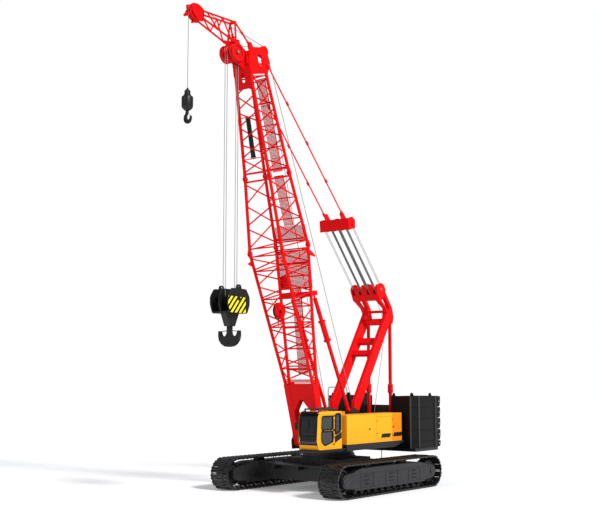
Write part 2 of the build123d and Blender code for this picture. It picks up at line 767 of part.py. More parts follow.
with BuildPart() as boom_insert:
    add(lattice(SEC_INSERT, 1))
    add(end_blocks(SEC_INSERT, ((S_J2, 1, 2110.0, 2130.0), (S_J1, -1, 1620.0, 1640.0))))
    add(bearers(SEC_INSERT, (9700, 10700, 11700, 12700)))
boom_insert.part.label = "boom_insert"

HEAD_PLATE = [
    (17560, -620),
    (17560, 620),
    (18300, 560),
    (18760, 440),
    (19020, 400),
    (19020, 230),
    (18780, 150),
    (18780, -300),
    (18850, -780),
    (18000, -900),
]
NOSE_PLATE = [
    (17700, 480),
    (18200, 1050),
    (18420, 1330),
    (18780, 1330),
    (19220, 1150),
    (19230, 960),
    (18900, 600),
    (18700, 300),
]
FRONT_PLATE = [(16950, -520), (18100, -470), (18100, 470), (16950, 520)]
FRONT_SLOT = [(17250, -90), (17700, -90), (17700, 90), (17250, 90)]
PIN_REAR = boom_pt(18660, -1120, 0)
REAR_GROOVE_R = 215.0
HEAD_SLOT = [(17920, -330), (17920, -60), (18450, -60), (18450, -330)]

with BuildPart() as boom_head:
    add(lattice(SEC_HEAD))
    add(end_blocks(SEC_HEAD, ((S_J1, 1, 1620.0, 1640.0),)))
    add(bearers(SEC_HEAD, (13150, 14150, 15200, 16250, 17300)))
    for side in (-1, 1):
        plate = plate_boom(HEAD_PLATE, side * 470, side * 530)
        add(plate - plate_boom(HEAD_SLOT, side * 450, side * 550))
        arm = [(18500, -760), (18820, -760), (18800, -1300), (18560, -1300)]
        add(plate_boom(arm, side * 170, side * 210))
        add(plate_boom(NOSE_PLATE, side * NOSE_Y0, side * NOSE_Y1))
    add(flat_boom([(18000, -470), (18060, -470), (18060, 470), (18000, 470)], -700, 600))
    add(flat_boom([(18560, -470), (18760, -470), (18760, 470), (18560, 470)], -780, -700))
    add(cut(flat_boom(FRONT_PLATE, 560, 600), flat_boom(FRONT_SLOT, 500, 700)))
    nest = boom_pt(NEST_S, NEST_N, 0)
    add(rod((nest[0], -440, nest[2]), (nest[0], 440, nest[2]), NEST_PIN_R))
    add(rod((PIN_REAR[0], -210, PIN_REAR[2]), (PIN_REAR[0], 210, PIN_REAR[2]), 45))
boom_head.part.label = "boom_head"


GROOVE_FLOOR = 18.0


def sheaves_of(centre, count, half_width, rim, groove, bore):
    """A set of grooved sheaves side by side as one turned solid."""
    pitch = 2 * half_width / count
    line = [(-half_width, bore), (-half_width, rim)]
    for k in range(count):
        mid = -half_width + (k + 0.5) * pitch
        line += [(mid - GROOVE_FLOOR, groove), (mid + GROOVE_FLOOR, groove), (mid + pitch / 2, rim)]
    line += [(half_width, bore)]
    return turn_of(line, centre)


NestGroup = namedtuple("NestGroup", "y0 y1 grooves")
NEST_GROUPS = (
    NestGroup(-400.0, -NOSE_Y1 - 5, 1),
    NestGroup(-2 * FALL_Y, 2 * FALL_Y, 2),
    NestGroup(NOSE_Y1 + 5, 400.0, 1),
)

with BuildPart() as head_sheaves:
    for g in NEST_GROUPS:
        middle = boom_pt(NEST_S, NEST_N, (g.y0 + g.y1) / 2)
        add(sheaves_of(middle, g.grooves, (g.y1 - g.y0) / 2, NEST_R, GROOVE_R, NEST_PIN_R + FIT))
head_sheaves.part.label = "head_sheaves"

with BuildPart() as deflector_sheave:
    add(sheaves_of(PIN_REAR, 2, 160.0, 260.0, REAR_GROOVE_R, 45.0 + FIT))
deflector_sheave.part.label = "deflector_sheave"

with BuildPart() as boom_walkway:
    add(tread(SEC_FOOT, 3300, 7300, 275))
    for s0, s1 in ((7320, 7920), (7950, 8550), (8580, 9180)):
        add(tread(SEC_FOOT, s0, s1, 960))
    add(tread(SEC_INSERT, 9620, 10350, 940))
    add(tread(SEC_INSERT, 10370, 12800, 275))
    add(tread(SEC_HEAD, 12980, 17400, 275))
boom_walkway.part.label = "boom_walkway"

# Tip extension
def between(a, b, f):
    """The point at the part f of the way from a to b."""
    return tuple(p + (q - p) * f for p, q in zip(a, b))


APEX_X, APEX_Y, APEX_Z = 7260.0, 150.0, 21400.0
SEAT_X, SEAT_Z = 7560.0, 20470.0
HEEL_S, HEEL_N = 18950.0, 310.0
HEEL_Y0, HEEL_Y1 = 410.0, 470.0

with BuildPart() as tip_extension:
    for side in (-1, 1):
        seat_y = side * (NOSE_Y1 + 62)
        apex = (APEX_X, side * APEX_Y, APEX_Z)
        seat = (SEAT_X, seat_y, SEAT_Z)
        upper = (TIP_X - 350, side * 200, TIP_Z + 110)
        lower = (TIP_X - 350, side * 200, TIP_Z - 220)
        add(brace(upper, apex, 45))
        add(brace(lower, seat, 45))
        add(brace(apex, (SEAT_X - 250, seat_y, SEAT_Z + 20), 45))
        add(brace(apex, boom_pt(HEEL_S, HEEL_N, side * (HEEL_Y1 - 42)), 40))
        for on_lower, on_upper in ((0.5, 0.4), (0.5, 0.875), (0.03, 0.4)):
            add(brace(between(seat, lower, on_lower), between(apex, upper, on_upper), 35))
        cheek = [(-440, -350), (-170, -390), (250, -120), (330, 300), (-70, 360), (-440, 220)]
        add(plate_xz([(TIP_X + x, TIP_Z + z) for x, z in cheek], side * 140, side * 190))
        foot = [(-560, -75), (60, -75), (60, 70), (-480, 130)]
        line = [(SEAT_X + x, SEAT_Z + z) for x, z in foot]
        add(plate_xz(line, side * NOSE_Y1, side * (NOSE_Y1 + 70)))
        heel = [(-250, -110), (40, -70), (90, 20), (40, 90), (-250, 110)]
        line = [(HEEL_S + ds, HEEL_N + dn) for ds, dn in heel]
        add(plate_boom(line, side * HEEL_Y0, side * HEEL_Y1))
    add(brace((APEX_X, -APEX_Y - 20, APEX_Z), (APEX_X, APEX_Y + 20, APEX_Z), 70))
    add(block(TIP_X - 440, TIP_X - 375, -190, 190, TIP_Z - 280, TIP_Z + 170))
    add(brace((SEAT_X - 258, -NOSE_Y1 - 50, SEAT_Z + 200), (SEAT_X - 258, NOSE_Y1 + 50, SEAT_Z + 200), 40))
    add(rod((TIP_X, -190, TIP_Z), (TIP_X, 190, TIP_Z), 45))
tip_extension.part.label = "tip_extension"

with BuildPart() as tip_sheave:
    add(sheaves_of((TIP_X, 0, TIP_Z), 3, 130.0, 365.0, TIP_GROOVE_R, 45.0 + FIT))
tip_sheave.part.label = "tip_sheave"

# Pendants and bail
PEND_TOP = boom_pt(17900, -690, 0)

with BuildPart() as pendants:
    a, b = (PEND_TOP[0], PEND_TOP[2]), (-500.0, 13470.0)
    for side in (-1, 1):
        y0, y1 = side * 530, side * 560
        add(strut(a, b, 38, y0, y1))
        for f in (0.0, 0.24, 0.5, 0.76, 0.985):
            x, z = a[0] + (b[0] - a[0]) * f, a[1] + (b[1] - a[1]) * f
            dx, dz = (b[0] - a[0]) * 0.013, (b[1] - a[1]) * 0.013
            add(strut((x - dx, z - dz), (x + dx, z + dz), 85, y0, side * 600))
pendants.part.label = "pendants"

with BuildPart() as bail:
    for side in (-1, 1):
        lug = [(-1010, 12860), (-760, 12770), (-430, 13330), (-330, 13560), (-560, 13640), (-980, 13200)]
        add(plate_xz(lug, side * 460, side * 530))
    add(rod((BAIL_X, -990, BAIL_Z), (BAIL_X, 990, BAIL_Z), 60))
    for y0, y1 in ((-900, -820), (-25, 25), (820, 900)):
        add(plate_xz([(-1100, 12820), (-560, 12700), (-500, 13280), (-860, 13400), (-1100, 13250)], y0, y1))
    add(strut((-555, 12700), (-500, 13280), 20, -900, 900))
    for y in PACK_Y:
        add(rod((BAIL_X, y - 80, BAIL_Z), (BAIL_X, y + 80, BAIL_Z), PACK_R))
bail.part.label = "bail"

with BuildPart() as luffing_ropes:
    run = math.hypot(BAIL_X - BOX_X, BAIL_Z - BOX_Z)
    across = (PACK_R + 12 + FIT) / run
    px, pz = -(BAIL_Z - BOX_Z) * across, (BAIL_X - BOX_X) * across
    for y in PACK_Y:
        for dy in (-40, 40):
            for k in (-1, 1):
                low = (BOX_X + k * px, y + dy, BOX_Z + k * pz)
                high = (BAIL_X + k * px, y + dy, BAIL_Z + k * pz)
                add(rope(low, high, 12, (px, 0, pz)))
luffing_ropes.part.label = "luffing_ropes"

LINE_Y = 80.0


def line_ends(drum):
    """Where a hoist line leaves its drum and meets the deflector sheave, both on the rear side."""
    start, end = (drum.x, drum.z), (PIN_REAR[0], PIN_REAR[2])
    r0, r1 = drum.r + ROPE_R + FIT, REAR_GROOVE_R + ROPE_R + FIT
    run = math.dist(start, end)
    ux, uz = (end[0] - start[0]) / run, (end[1] - start[1]) / run
    lean = (r0 - r1) / run
    side = math.sqrt(1 - lean * lean)
    nx, nz = ux * lean - uz * side, uz * lean + ux * side
    return (start[0] + r0 * nx, start[1] + r0 * nz), (end[0] + r1 * nx, end[1] + r1 * nz), (nx, 0, nz)


with BuildPart() as hoist_lines:
    for drum, y in ((HOIST, -LINE_Y), (AUX, LINE_Y)):
        low, high, outwards = line_ends(drum)
        add(rope((low[0], y, low[1]), (high[0], y, high[1]), ROPE_R, outwards))
hoist_lines.part.label = "hoist_lines"

# Backstops


def stop_pt(length):
    """World X and Z at a length along the backstop from its foot."""
    dx, dz = STOP_TOP[0] - STOP_FOOT[0], STOP_TOP[1] - STOP_FOOT[1]
    whole = math.hypot(dx, dz)
    return (STOP_FOOT[0] + dx * length / whole, STOP_FOOT[1] + dz * length / whole)


with BuildPart() as backstop_rods:
    for side in (-1, 1):
        y = side * STOP_Y
        (x0, z0), (x1, z1) = stop_pt(100), stop_pt(5950)
        add(rod((x0, y, z0), (x1, y, z1), SHAFT_R))
        x2, z2 = stop_pt(4350)
        add(rod((x0, y, z0), (x2, y, z2), STOP_R))
        x, z = STOP_FOOT
        add(rod((x, y - 50, z), (x, y + 50, z), 150))
        add(rod((x, side * 525, z), (x, side * 835, z), SHAFT_R))
backstop_rods.part.label = "backstop_rods"

Stretch = namedtuple("Stretch", "start end r")
STOP_OUTSIDE = (
    Stretch(4000, 4060, 185),
    Stretch(4060, 5000, 135),
    Stretch(5000, 5060, 185),
    Stretch(5060, 6250, 100),
    Stretch(6250, 6500, 50),
)
STOP_INSIDE = (Stretch(3950, 4600, STOP_R + FIT), Stretch(4600, 6190, SHAFT_R + FIT))


def stop_profile(stretches, inner=0):
    """The stepped outline of the stretches, as (along, radius) pairs."""
    line = [(stretches[0].start, inner)]
    for part in stretches:
        line += [(part.start, part.r), (part.end, part.r)]
    return line + [(stretches[-1].end, inner)]


with BuildPart() as backstop_tubes:
    along = (STOP_TOP[0] - STOP_FOOT[0], 0, STOP_TOP[1] - STOP_FOOT[1])
    for side in (-1, 1):
        foot = (STOP_FOOT[0], side * STOP_Y, STOP_FOOT[1])
        tube = turn_of(stop_profile(STOP_OUTSIDE), foot, along)
        add(tube - turn_of(stop_profile(STOP_INSIDE), foot, along))
backstop_tubes.part.label = "backstop_tubes"

# Main hook: its heights hang on the block's sheave axle.
NEST = boom_pt(NEST_S, NEST_N, 0)
HOOK_X = NEST[0]
BLOCK_Z = 8760.0
BLOCK_LOW = BLOCK_Z - 640
NECK_Z = BLOCK_Z - 1200
HOOK_EYE_Z = NECK_Z - 730
HOOK_EYE_R = 50.0

with BuildPart() as main_falls:
    for off in (-FALL_R, FALL_R):
        for y in (-FALL_Y, FALL_Y):
            add(rope((HOOK_X + off, y, BLOCK_Z), (HOOK_X + off, y, NEST[2]), ROPE_R, (1, 0, 0)))
main_falls.part.label = "main_falls"

CHEEK_HALF = [(-260, 715), (-640, 560)]
CHEEK_TOP = [(90, 715), (440, 480)]

with BuildPart() as hook_block:
    right = [(x, BLOCK_Z + z) for z, x in CHEEK_HALF[::-1] + CHEEK_TOP]
    cheek = [(HOOK_X + x, z) for x, z in right] + [(HOOK_X - x, z) for x, z in right[::-1]]
    for y0, y1 in ((-540, -480), (-30, 30), (480, 540)):
        add(plate_xz(cheek, y0, y1))
    lug = [(HOOK_X + x, BLOCK_Z + z) for x, z in ((-200, 390), (200, 390), (120, 620), (-120, 620))]
    for side in (-1, 1):
        add(plate_xz(lug, side * 480, side * 540))
    add(rod((HOOK_X, -540, BLOCK_Z), (HOOK_X, 540, BLOCK_Z), 80))
    for y in (-FALL_Y, FALL_Y):
        add(rod((HOOK_X, y - 50, BLOCK_Z), (HOOK_X, y + 50, BLOCK_Z), GROOVE_R))
    add(block(HOOK_X - 560, HOOK_X + 560, -480, 480, BLOCK_LOW, BLOCK_LOW + 80))
    neck = [(-420, BLOCK_LOW), (420, BLOCK_LOW), (170, NECK_Z), (-170, NECK_Z)]
    add(plate_xz([(HOOK_X + x, z) for x, z in neck], -170, 170))
hook_block.part.label = "hook_block"

with BuildPart() as ramshorn_hook:
    # The prongs lie across the boom; each bowl and each back is one arc.
    top, tip = NECK_Z - FIT, NECK_Z - 200
    outline = curved_face(
        lambda y, z: (HOOK_X - 80, y, z),
        (-110, top),
        [
            ((110, top),),
            ((120, NECK_Z - 310),),
            ((300, NECK_Z - 450), (500, NECK_Z - 230)),
            ((600, tip),),
            ((470, NECK_Z - 710), (0, NECK_Z - 910)),
            ((-470, NECK_Z - 710), (-600, tip)),
            ((-500, NECK_Z - 230),),
            ((-300, NECK_Z - 450), (-120, NECK_Z - 310)),
            ((-110, top),),
        ],
    )
    add(Solid.extrude(outline, Vector(160, 0, 0)))
    add(rod((HOOK_X - 90, 0, HOOK_EYE_Z), (HOOK_X + 90, 0, HOOK_EYE_Z), HOOK_EYE_R), mode=Mode.SUBTRACT)
ramshorn_hook.part.label = "ramshorn_hook"

# Second line: rope, ball and single hook hang from the tip sheave.
BALL_TOP = TIP_Z - 3490
BALL_LOW = BALL_TOP - 990
BALL_LINE = [
    (0, 0),
    (0, 130),
    (160, 250),
    (500, 250),
    (640, 80),
    (800, 70),
    (800, 40),
    (990, 40),
    (990, 0),
]

with BuildPart() as aux_rope:
    add(rope((AUX_X, 0, BALL_TOP), (AUX_X, 0, TIP_Z), ROPE_R, (1, 0, 0)))
aux_rope.part.label = "aux_rope"

with BuildPart() as aux_ball:
    add(turn_of(BALL_LINE, (AUX_X, 0, BALL_LOW), (0, 0, 1)))
aux_ball.part.label = "aux_ball"

with BuildPart() as aux_hook:
    outline = curved_face(
        lambda y, z: (AUX_X - 45, y, BALL_LOW + z),
        (-60, -FIT),
        [
            ((60, -FIT),),
            ((70, -140),),
            ((-30, -270), (5, -410)),
            ((120, -440), (190, -250)),
            ((260, -270),),
            ((90, -595), (-170, -330)),
            ((-150, -220), (-80, -140)),
            ((-60, -FIT),),
        ],
    )
    add(Solid.extrude(outline, Vector(90, 0, 0)))
aux_hook.part.label = "aux_hook"

NODES = [
    carbody, undercarriage_steps, track_frame_left, track_frame_right, track_left, track_right,
    idlers, sprockets, revolving_deck, house_left, house_right, house_door_left,
    house_door_right, engine_block, roof_box, roof_rails, counterweight_left,
    counterweight_right, gantry_legs, gantry_head, back_legs, hoist_drum, aux_drum,
    luffing_drum, cab_shell, cab_door, door_glass, cab_glass, operator_seat, boom_foot,
    boom_insert, boom_head, head_sheaves, deflector_sheave, boom_walkway, tip_extension,
    tip_sheave, pendants, bail, luffing_ropes, hoist_lines, backstop_rods, backstop_tubes,
    main_falls, hook_block, ramshorn_hook, aux_rope, aux_ball, aux_hook,
]

for node in NODES:
    export_step(node.part, f"parts/{node.part.label}.step")
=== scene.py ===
"""Looks of a crawler crane with a lattice boom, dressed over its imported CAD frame.

Sizes are real millimetres and turn to metres when a mesh is made. The axes are the frame's:
+X to the machine's front, +Y to its left, +Z up, the origin on the ground under the
slewing axis. Every new surface is worked out with numpy as whole arrays.
"""

from __future__ import annotations

import json
import logging
import math
from dataclasses import dataclass
from enum import Enum
from typing import Sequence

import bmesh
import bpy
import numpy as np
from mathutils import Matrix, Vector
from mathutils.geometry import tessellate_polygon

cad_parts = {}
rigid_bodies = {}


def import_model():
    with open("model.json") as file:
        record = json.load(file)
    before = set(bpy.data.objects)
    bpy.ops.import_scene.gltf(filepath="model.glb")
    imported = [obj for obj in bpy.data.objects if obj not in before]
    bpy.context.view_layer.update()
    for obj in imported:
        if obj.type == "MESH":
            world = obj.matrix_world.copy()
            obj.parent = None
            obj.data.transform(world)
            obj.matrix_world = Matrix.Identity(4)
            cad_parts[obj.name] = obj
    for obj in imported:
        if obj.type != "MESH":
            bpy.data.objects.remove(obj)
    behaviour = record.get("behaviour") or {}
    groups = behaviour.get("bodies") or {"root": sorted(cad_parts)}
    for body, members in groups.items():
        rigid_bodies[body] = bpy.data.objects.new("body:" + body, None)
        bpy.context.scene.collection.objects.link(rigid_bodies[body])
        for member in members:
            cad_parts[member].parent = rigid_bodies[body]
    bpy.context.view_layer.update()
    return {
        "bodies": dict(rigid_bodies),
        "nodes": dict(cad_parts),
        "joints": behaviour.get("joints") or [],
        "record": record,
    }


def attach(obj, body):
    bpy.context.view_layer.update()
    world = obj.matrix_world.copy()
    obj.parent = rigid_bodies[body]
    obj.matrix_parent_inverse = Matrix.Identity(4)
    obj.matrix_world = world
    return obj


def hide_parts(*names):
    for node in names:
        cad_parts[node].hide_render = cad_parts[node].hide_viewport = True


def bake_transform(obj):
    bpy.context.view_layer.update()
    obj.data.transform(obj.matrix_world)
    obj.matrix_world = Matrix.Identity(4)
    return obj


LOG = logging.getLogger("crane")
MM = 0.001
FIT = 0.3  # mm left between a rope and its groove, and between a hook and what carries it
ALONG, ACROSS, UP = (1, 0, 0), (0, 1, 0), (0, 0, 1)
SIDES = ((1, "left"), (-1, "right"))
STRANDS = 6.0  # strands of a rope, which its map counts
Points = np.ndarray
Faces = list[np.ndarray]
Surface = tuple[Points, Faces]
XZ = Sequence[tuple[float, float]]


# ---- finishes ----


class Make(Enum):
    """How a surface was made, which picks its pattern."""

    SPRAYED = "sprayed paint over steel"
    DUSTED = "sprayed paint with dust and scuffs"
    CAST = "cast or flame-cut steel, painted"
    WIRE = "stranded wire rope"
    PRESSED = "pressed open mesh"
    MOULDED = "moulded plastic or rubber"
    CLEAR = "glass sheet"
    STRIPED = "sprayed stripes"
    PLAIN = "plain surface"


@dataclass(frozen=True)
class Finish:
    """One material: what it is, its colours as sRGB hex and its numbers.

    grain_mm is the real size of its pattern, drawn as coarse as it has to be to show.
    """

    name: str
    colour: str
    make: Make = Make.SPRAYED
    second: str = "#000000"
    roughness: float = 0.4
    metallic: float = 0.0
    coat: float = 0.0
    specular: float = 0.5
    grain_mm: float = 40.0
    bump: float = 0.05


# Saturated pure red on all tubes and plates, with soft low highlights.
BOOM_PAINT = Finish("boom_red_polyurethane_paint", "#ee0509", second="#d80407", roughness=0.5, specular=0.12)
# Warm chrome yellow on the sheet-metal houses and cab: flat fields that turn orange in shade.
HOUSE_PAINT = Finish(
    "house_yellow_polyurethane_paint", "#fdb022", second="#f7a418", roughness=0.5, specular=0.15
)
# The house paint a tone deeper: painted shade on the panels round the rear corners, which turn away from the
# light.
CORNER_SHADE_PAINT = Finish("house_corner_painted_shade_orange", "#ee8a10", second="#e67f0c", roughness=0.5, specular=0.15)
# Charcoal chassis with a breath of dust, so that its edges stay readable.
CHASSIS_PAINT = Finish(
    "chassis_grey_paint", "#232325", Make.DUSTED, "#2c2c2d", 0.42, specular=0.3, grain_mm=300.0
)
# Black shoes, satin, with lighter scuffs on their lugs.
SHOE_STEEL = Finish(
    "track_shoe_black_manganese_steel", "#0c0c0d", Make.DUSTED, "#232323", 0.3, grain_mm=120.0
)
# Near-black cast slabs with the faint roughness of their skin.
BALLAST_IRON = Finish(
    "ballast_black_painted_cast_iron", "#060607", Make.CAST, "#0b0b0c", 0.5, specular=0.2, grain_mm=90.0
)
# The slabs' corner ridges, a shade lighter than the slabs: painted highlight along the corners that catch
# the light.
RIDGE_IRON = Finish(
    "ballast_ridge_grey_paint", "#38393b", Make.CAST, "#2b2c2e", 0.5, specular=0.3, grain_mm=90.0
)
# Black forged hooks with a fine uneven skin.
HOOK_STEEL = Finish(
    "hook_black_painted_forged_steel", "#0a0a0b", Make.CAST, "#141415", 0.42, specular=0.4, grain_mm=60.0
)
# Yellow and black slanting bars, which warn of the swinging block.
HOOK_STRIPES = Finish(
    "hook_stripe_enamel", "#ffe818", Make.STRIPED, "#0c0c0d", 0.45, specular=0.2, grain_mm=105.0
)
# Sheaves and drums in a slightly deeper red than the boom.
SHEAVE_PAINT = Finish(
    "sheave_red_painted_cast_iron", "#dc080a", Make.CAST, "#c00608", 0.45, specular=0.2, grain_mm=50.0
)
# Grey greased rope with slanting strands.
ROPE_STEEL = Finish("galvanised_wire_rope", "#8f9193", Make.WIRE, "#5f6163", 0.5)
# Bare bright pins and bolts, small points of light on the dark and red parts.
PIN_STEEL = Finish("zinc_plated_steel", "#a5a8ab", Make.PLAIN, roughness=0.35, metallic=0.9)
# Open walkway mesh in the boom's red, paler than the tubes behind it.
TREAD_STEEL = Finish("mesh_walkway_red_paint", "#d8242a", Make.SPRAYED, "#c81d22", 0.6, specular=0.1)
# Dark grating on the undercarriage steps.
DECK_GRATE = Finish(
    "grey_steel_grating", "#3c3e40", Make.PRESSED, "#1d1e20", 0.5, 0.4, grain_mm=60.0, bump=0.6
)
# Dark hand rails, thin and even against the white.
RAIL_STEEL = Finish("hand_rail_tube_black_paint", "#242528", Make.PLAIN, roughness=0.4)
# Dark tinted panes with a sharp gloss.
CAB_GLASS = Finish("tinted_laminated_glass", "#15181b", Make.CLEAR, roughness=0.03)
# Black rubber and plastic of seals, latches and blank plates.
RUBBER = Finish("black_rubber_seal", "#08080a", Make.MOULDED, "#101011", 0.45, specular=0.3, grain_mm=20.0)
# Matt black seat cover.
SEAT_CLOTH = Finish("black_seat_vinyl", "#1d1e21", Make.MOULDED, "#27282b", 0.7, grain_mm=15.0, bump=0.2)
# Plain grey of the engine's block and its exhaust.
ENGINE_PAINT = Finish("engine_grey_paint", "#4a4a4a", Make.CAST, "#424242", 0.5, specular=0.3, grain_mm=70.0)
# Clear lenses of the work lamps.
LAMP_LENS = Finish("lamp_lens_polycarbonate", "#dfe3e6", Make.PLAIN, roughness=0.1)


def linear(code: str) -> tuple[float, float, float, float]:
    """Turns an sRGB hex colour to linear light.

    Args:
        code: the colour as #rrggbb.

    Returns:
        Red, green, blue and an alpha of 1.
    """
    raw = np.array([int(code[i : i + 2], 16) for i in (1, 3, 5)]) / 255.0
    light = np.where(raw <= 0.04045, raw / 12.92, ((raw + 0.055) / 1.055) ** 2.4)
    return (*light.tolist(), 1.0)


def add_node(
    tree: bpy.types.NodeTree, kind: str, settings: dict | None = None, **links: object
) -> bpy.types.Node:
    """Adds one node with its settings and links.

    Args:
        tree: the node tree.
        kind: the node's type name.
        settings: property names or input names, and their values.
        links: an input's name, with _ for a space, and the output socket that feeds it.

    Returns:
        The new node.
    """
    node = tree.nodes.new(kind)
    for name, value in (settings or {}).items():
        if name in node.inputs:
            node.inputs[name].default_value = value
        else:
            setattr(node, name, value)
    for name, socket in links.items():
        tree.links.new(socket, node.inputs[name.replace("_", " ")])
    return node


class PaintShop:
    """Makes each finish into a material once."""

    def __init__(self) -> None:
        """Starts with no material made."""
        self.made: dict[str, bpy.types.Material] = {}

    def get(self, finish: Finish) -> bpy.types.Material:
        """Gives the material of a finish, making it at its first use.

        Args:
            finish: the finish.

        Returns:
            The material.
        """
        if finish.name not in self.made:
            self.made[finish.name] = self._make(finish)
        return self.made[finish.name]

    def _make(self, finish: Finish) -> bpy.types.Material:
        """Builds the node tree of one finish.

        Args:
            finish: the finish.

        Returns:
            The new material.
        """
        material = bpy.data.materials.new(finish.name)
        material.use_nodes = True
        tree = material.node_tree
        shader = tree.nodes["Principled BSDF"]
        shader.inputs["Base Color"].default_value = linear(finish.colour)
        shader.inputs["Roughness"].default_value = finish.roughness
        shader.inputs["Metallic"].default_value = finish.metallic
        shader.inputs["Coat Weight"].default_value = finish.coat
        shader.inputs["Specular IOR Level"].default_value = finish.specular
        material.diffuse_color = linear(finish.colour)
        if finish.make is Make.CLEAR:
            shader.inputs["IOR"].default_value = 1.52
            shader.inputs["Alpha"].default_value = 0.82
            shader.inputs["Specular IOR Level"].default_value = 0.7
            return material
        if finish.make is Make.PLAIN:
            return material
        where = add_node(tree, "ShaderNodeTexCoord").outputs["Object"]
        if finish.make is Make.STRIPED:
            self._stripes(tree, shader, finish, where)
            return material
        if finish.make is Make.WIRE:
            self._strands(tree, shader, finish)
            return material
        scale, pressed = 1.0 / (finish.grain_mm * MM), finish.make is Make.PRESSED
        if pressed:
            cells = {"Scale": scale, "feature": "DISTANCE_TO_EDGE"}
            height = add_node(tree, "ShaderNodeTexVoronoi", cells, Vector=where).outputs["Distance"]
        else:
            grain = {"Scale": scale, "Detail": 4.0, "Roughness": 0.6}
            height = add_node(tree, "ShaderNodeTexNoise", grain, Vector=where).outputs["Fac"]
        spread = {Make.PRESSED: (0.02, 0.16), Make.DUSTED: (0.45, 0.75)}.get(finish.make, (0.35, 0.75))
        ramp = add_node(tree, "ShaderNodeValToRGB", Fac=height)
        for stop, place, colour in zip(ramp.color_ramp.elements, spread, (finish.colour, finish.second)):
            stop.position = place
            stop.color = linear(colour)
        tree.links.new(ramp.outputs["Color"], shader.inputs["Base Color"])
        relief = {"Strength": finish.bump, "Distance": 0.004, "invert": pressed}
        bump = add_node(tree, "ShaderNodeBump", relief, Height=height)
        tree.links.new(bump.outputs["Normal"], shader.inputs["Normal"])
        return material

    def _stripes(
        self,
        tree: bpy.types.NodeTree,
        shader: bpy.types.Node,
        finish: Finish,
        where: bpy.types.NodeSocket,
    ) -> None:
        """Paints slanting stripes of two colours, each grain_mm wide.

        Args:
            tree: the node tree.
            shader: its main shader.
            finish: the finish with both colours.
            where: the socket that gives the place on the piece.
        """
        slant = {"Rotation": (0.0, math.radians(40.0), 0.0)}
        leaning = add_node(tree, "ShaderNodeMapping", slant, Vector=where)
        split = add_node(tree, "ShaderNodeSeparateXYZ", Vector=leaning.outputs["Vector"])
        count = add_node(tree, "ShaderNodeMath", {"operation": "DIVIDE"})
        tree.links.new(split.outputs["X"], count.inputs[0])
        count.inputs[1].default_value = 2.0 * finish.grain_mm * MM
        part = add_node(tree, "ShaderNodeMath", {"operation": "FRACT"})
        tree.links.new(count.outputs[0], part.inputs[0])
        ramp = add_node(tree, "ShaderNodeValToRGB", Fac=part.outputs[0])
        ramp.color_ramp.interpolation = "CONSTANT"
        ramp.color_ramp.elements[0].color = linear(finish.colour)
        ramp.color_ramp.elements[1].position = 0.5
        ramp.color_ramp.elements[1].color = linear(finish.second)
        tree.links.new(ramp.outputs["Color"], shader.inputs["Base Color"])

    def _strands(self, tree: bpy.types.NodeTree, shader: bpy.types.Node, finish: Finish) -> None:
        """Lays the strands of a rope round it: slanting bands on its own UV map.

        Args:
            tree: the node tree.
            shader: its main shader.
            finish: the finish with both colours.
        """
        place = add_node(tree, "ShaderNodeUVMap", {"uv_map": "rope"}).outputs["UV"]
        wave = {"Scale": 0.318, "wave_type": "BANDS", "bands_direction": "DIAGONAL"}
        bands = add_node(tree, "ShaderNodeTexWave", wave, Vector=place)
        ramp = add_node(tree, "ShaderNodeValToRGB", Fac=bands.outputs["Fac"])
        ramp.color_ramp.elements[0].color = linear(finish.second)
        ramp.color_ramp.elements[1].color = linear(finish.colour)
        tree.links.new(ramp.outputs["Color"], shader.inputs["Base Color"])


# ---- surfaces ----


def unit(rows: Points) -> Points:
    """Gives vectors of length one along the last axis."""
    rows = np.asarray(rows, float)
    return rows / np.linalg.norm(rows, axis=-1, keepdims=True)


def across(along: Points, hint: Sequence[float] | None = None) -> tuple[Points, Points]:
    """Finds two directions square to each given one.

    The first is the hint crossed with the direction, the second completes the set.

    Args:
        along: rows of unit directions.
        hint: a direction that none of the rows has, or None to choose per row.

    Returns:
        Two arrays of unit directions.
    """
    along = np.atleast_2d(along)
    if hint is None:
        tall = (np.abs(along[:, 2]) > 0.9)[:, None]
        guide = np.where(tall, np.array([1.0, 0.0, 0.0]), np.array([0.0, 0.0, 1.0]))
    else:
        guide = np.broadcast_to(np.asarray(hint, float), along.shape)
    first = unit(np.cross(guide, along))
    return first, np.cross(along, first)


def grid_faces(rows: int, cols: int) -> Points:
    """Numbers the four corners of each cell of a closed band of points.

    Args:
        rows: points along.
        cols: points round, of which the last meets the first.

    Returns:
        An array of quads.
    """
    r, c = np.arange(rows - 1)[:, None], np.arange(cols)[None, :]
    d = (c + 1) % cols
    quads = np.stack([r * cols + c, r * cols + d, (r + 1) * cols + d, (r + 1) * cols + c], -1)
    return quads.reshape(-1, 4)


def hoops(first: Points, second: Points, sides: int) -> Points:
    """Gives unit circles: cos a * first + sin a * second, for angles a round each row."""
    a = np.arange(sides) * math.tau / sides
    return np.cos(a)[None, :, None] * first[:, None] + np.sin(a)[None, :, None] * second[:, None]


def skin(points: Points) -> Surface:
    """Joins rings of points to one surface with a lid at each end.

    Args:
        points: rings, each with its points round it.

    Returns:
        Points and faces.
    """
    rows, sides = points.shape[:2]
    lid = np.arange(sides)[None]
    return points.reshape(-1, 3), [grid_faces(rows, sides), lid[:, ::-1], lid + (rows - 1) * sides]


def curve(start: Points, mid: Points, end: Points, steps: int) -> Points:
    """Gives quadratic curves: (1 - t)^2 * start + 2 t (1 - t) * mid + t^2 * end.

    Args:
        start: where each starts.
        mid: the corner that each rounds.
        end: where each ends.
        steps: runs in each.

    Returns:
        The points of each, for t from 0 to 1.
    """
    t = np.linspace(0.0, 1.0, steps + 1)[:, None]
    start, mid, end = (row[..., None, :] for row in (start, mid, end))
    return (1 - t) ** 2 * start + 2 * t * (1 - t) * mid + t**2 * end


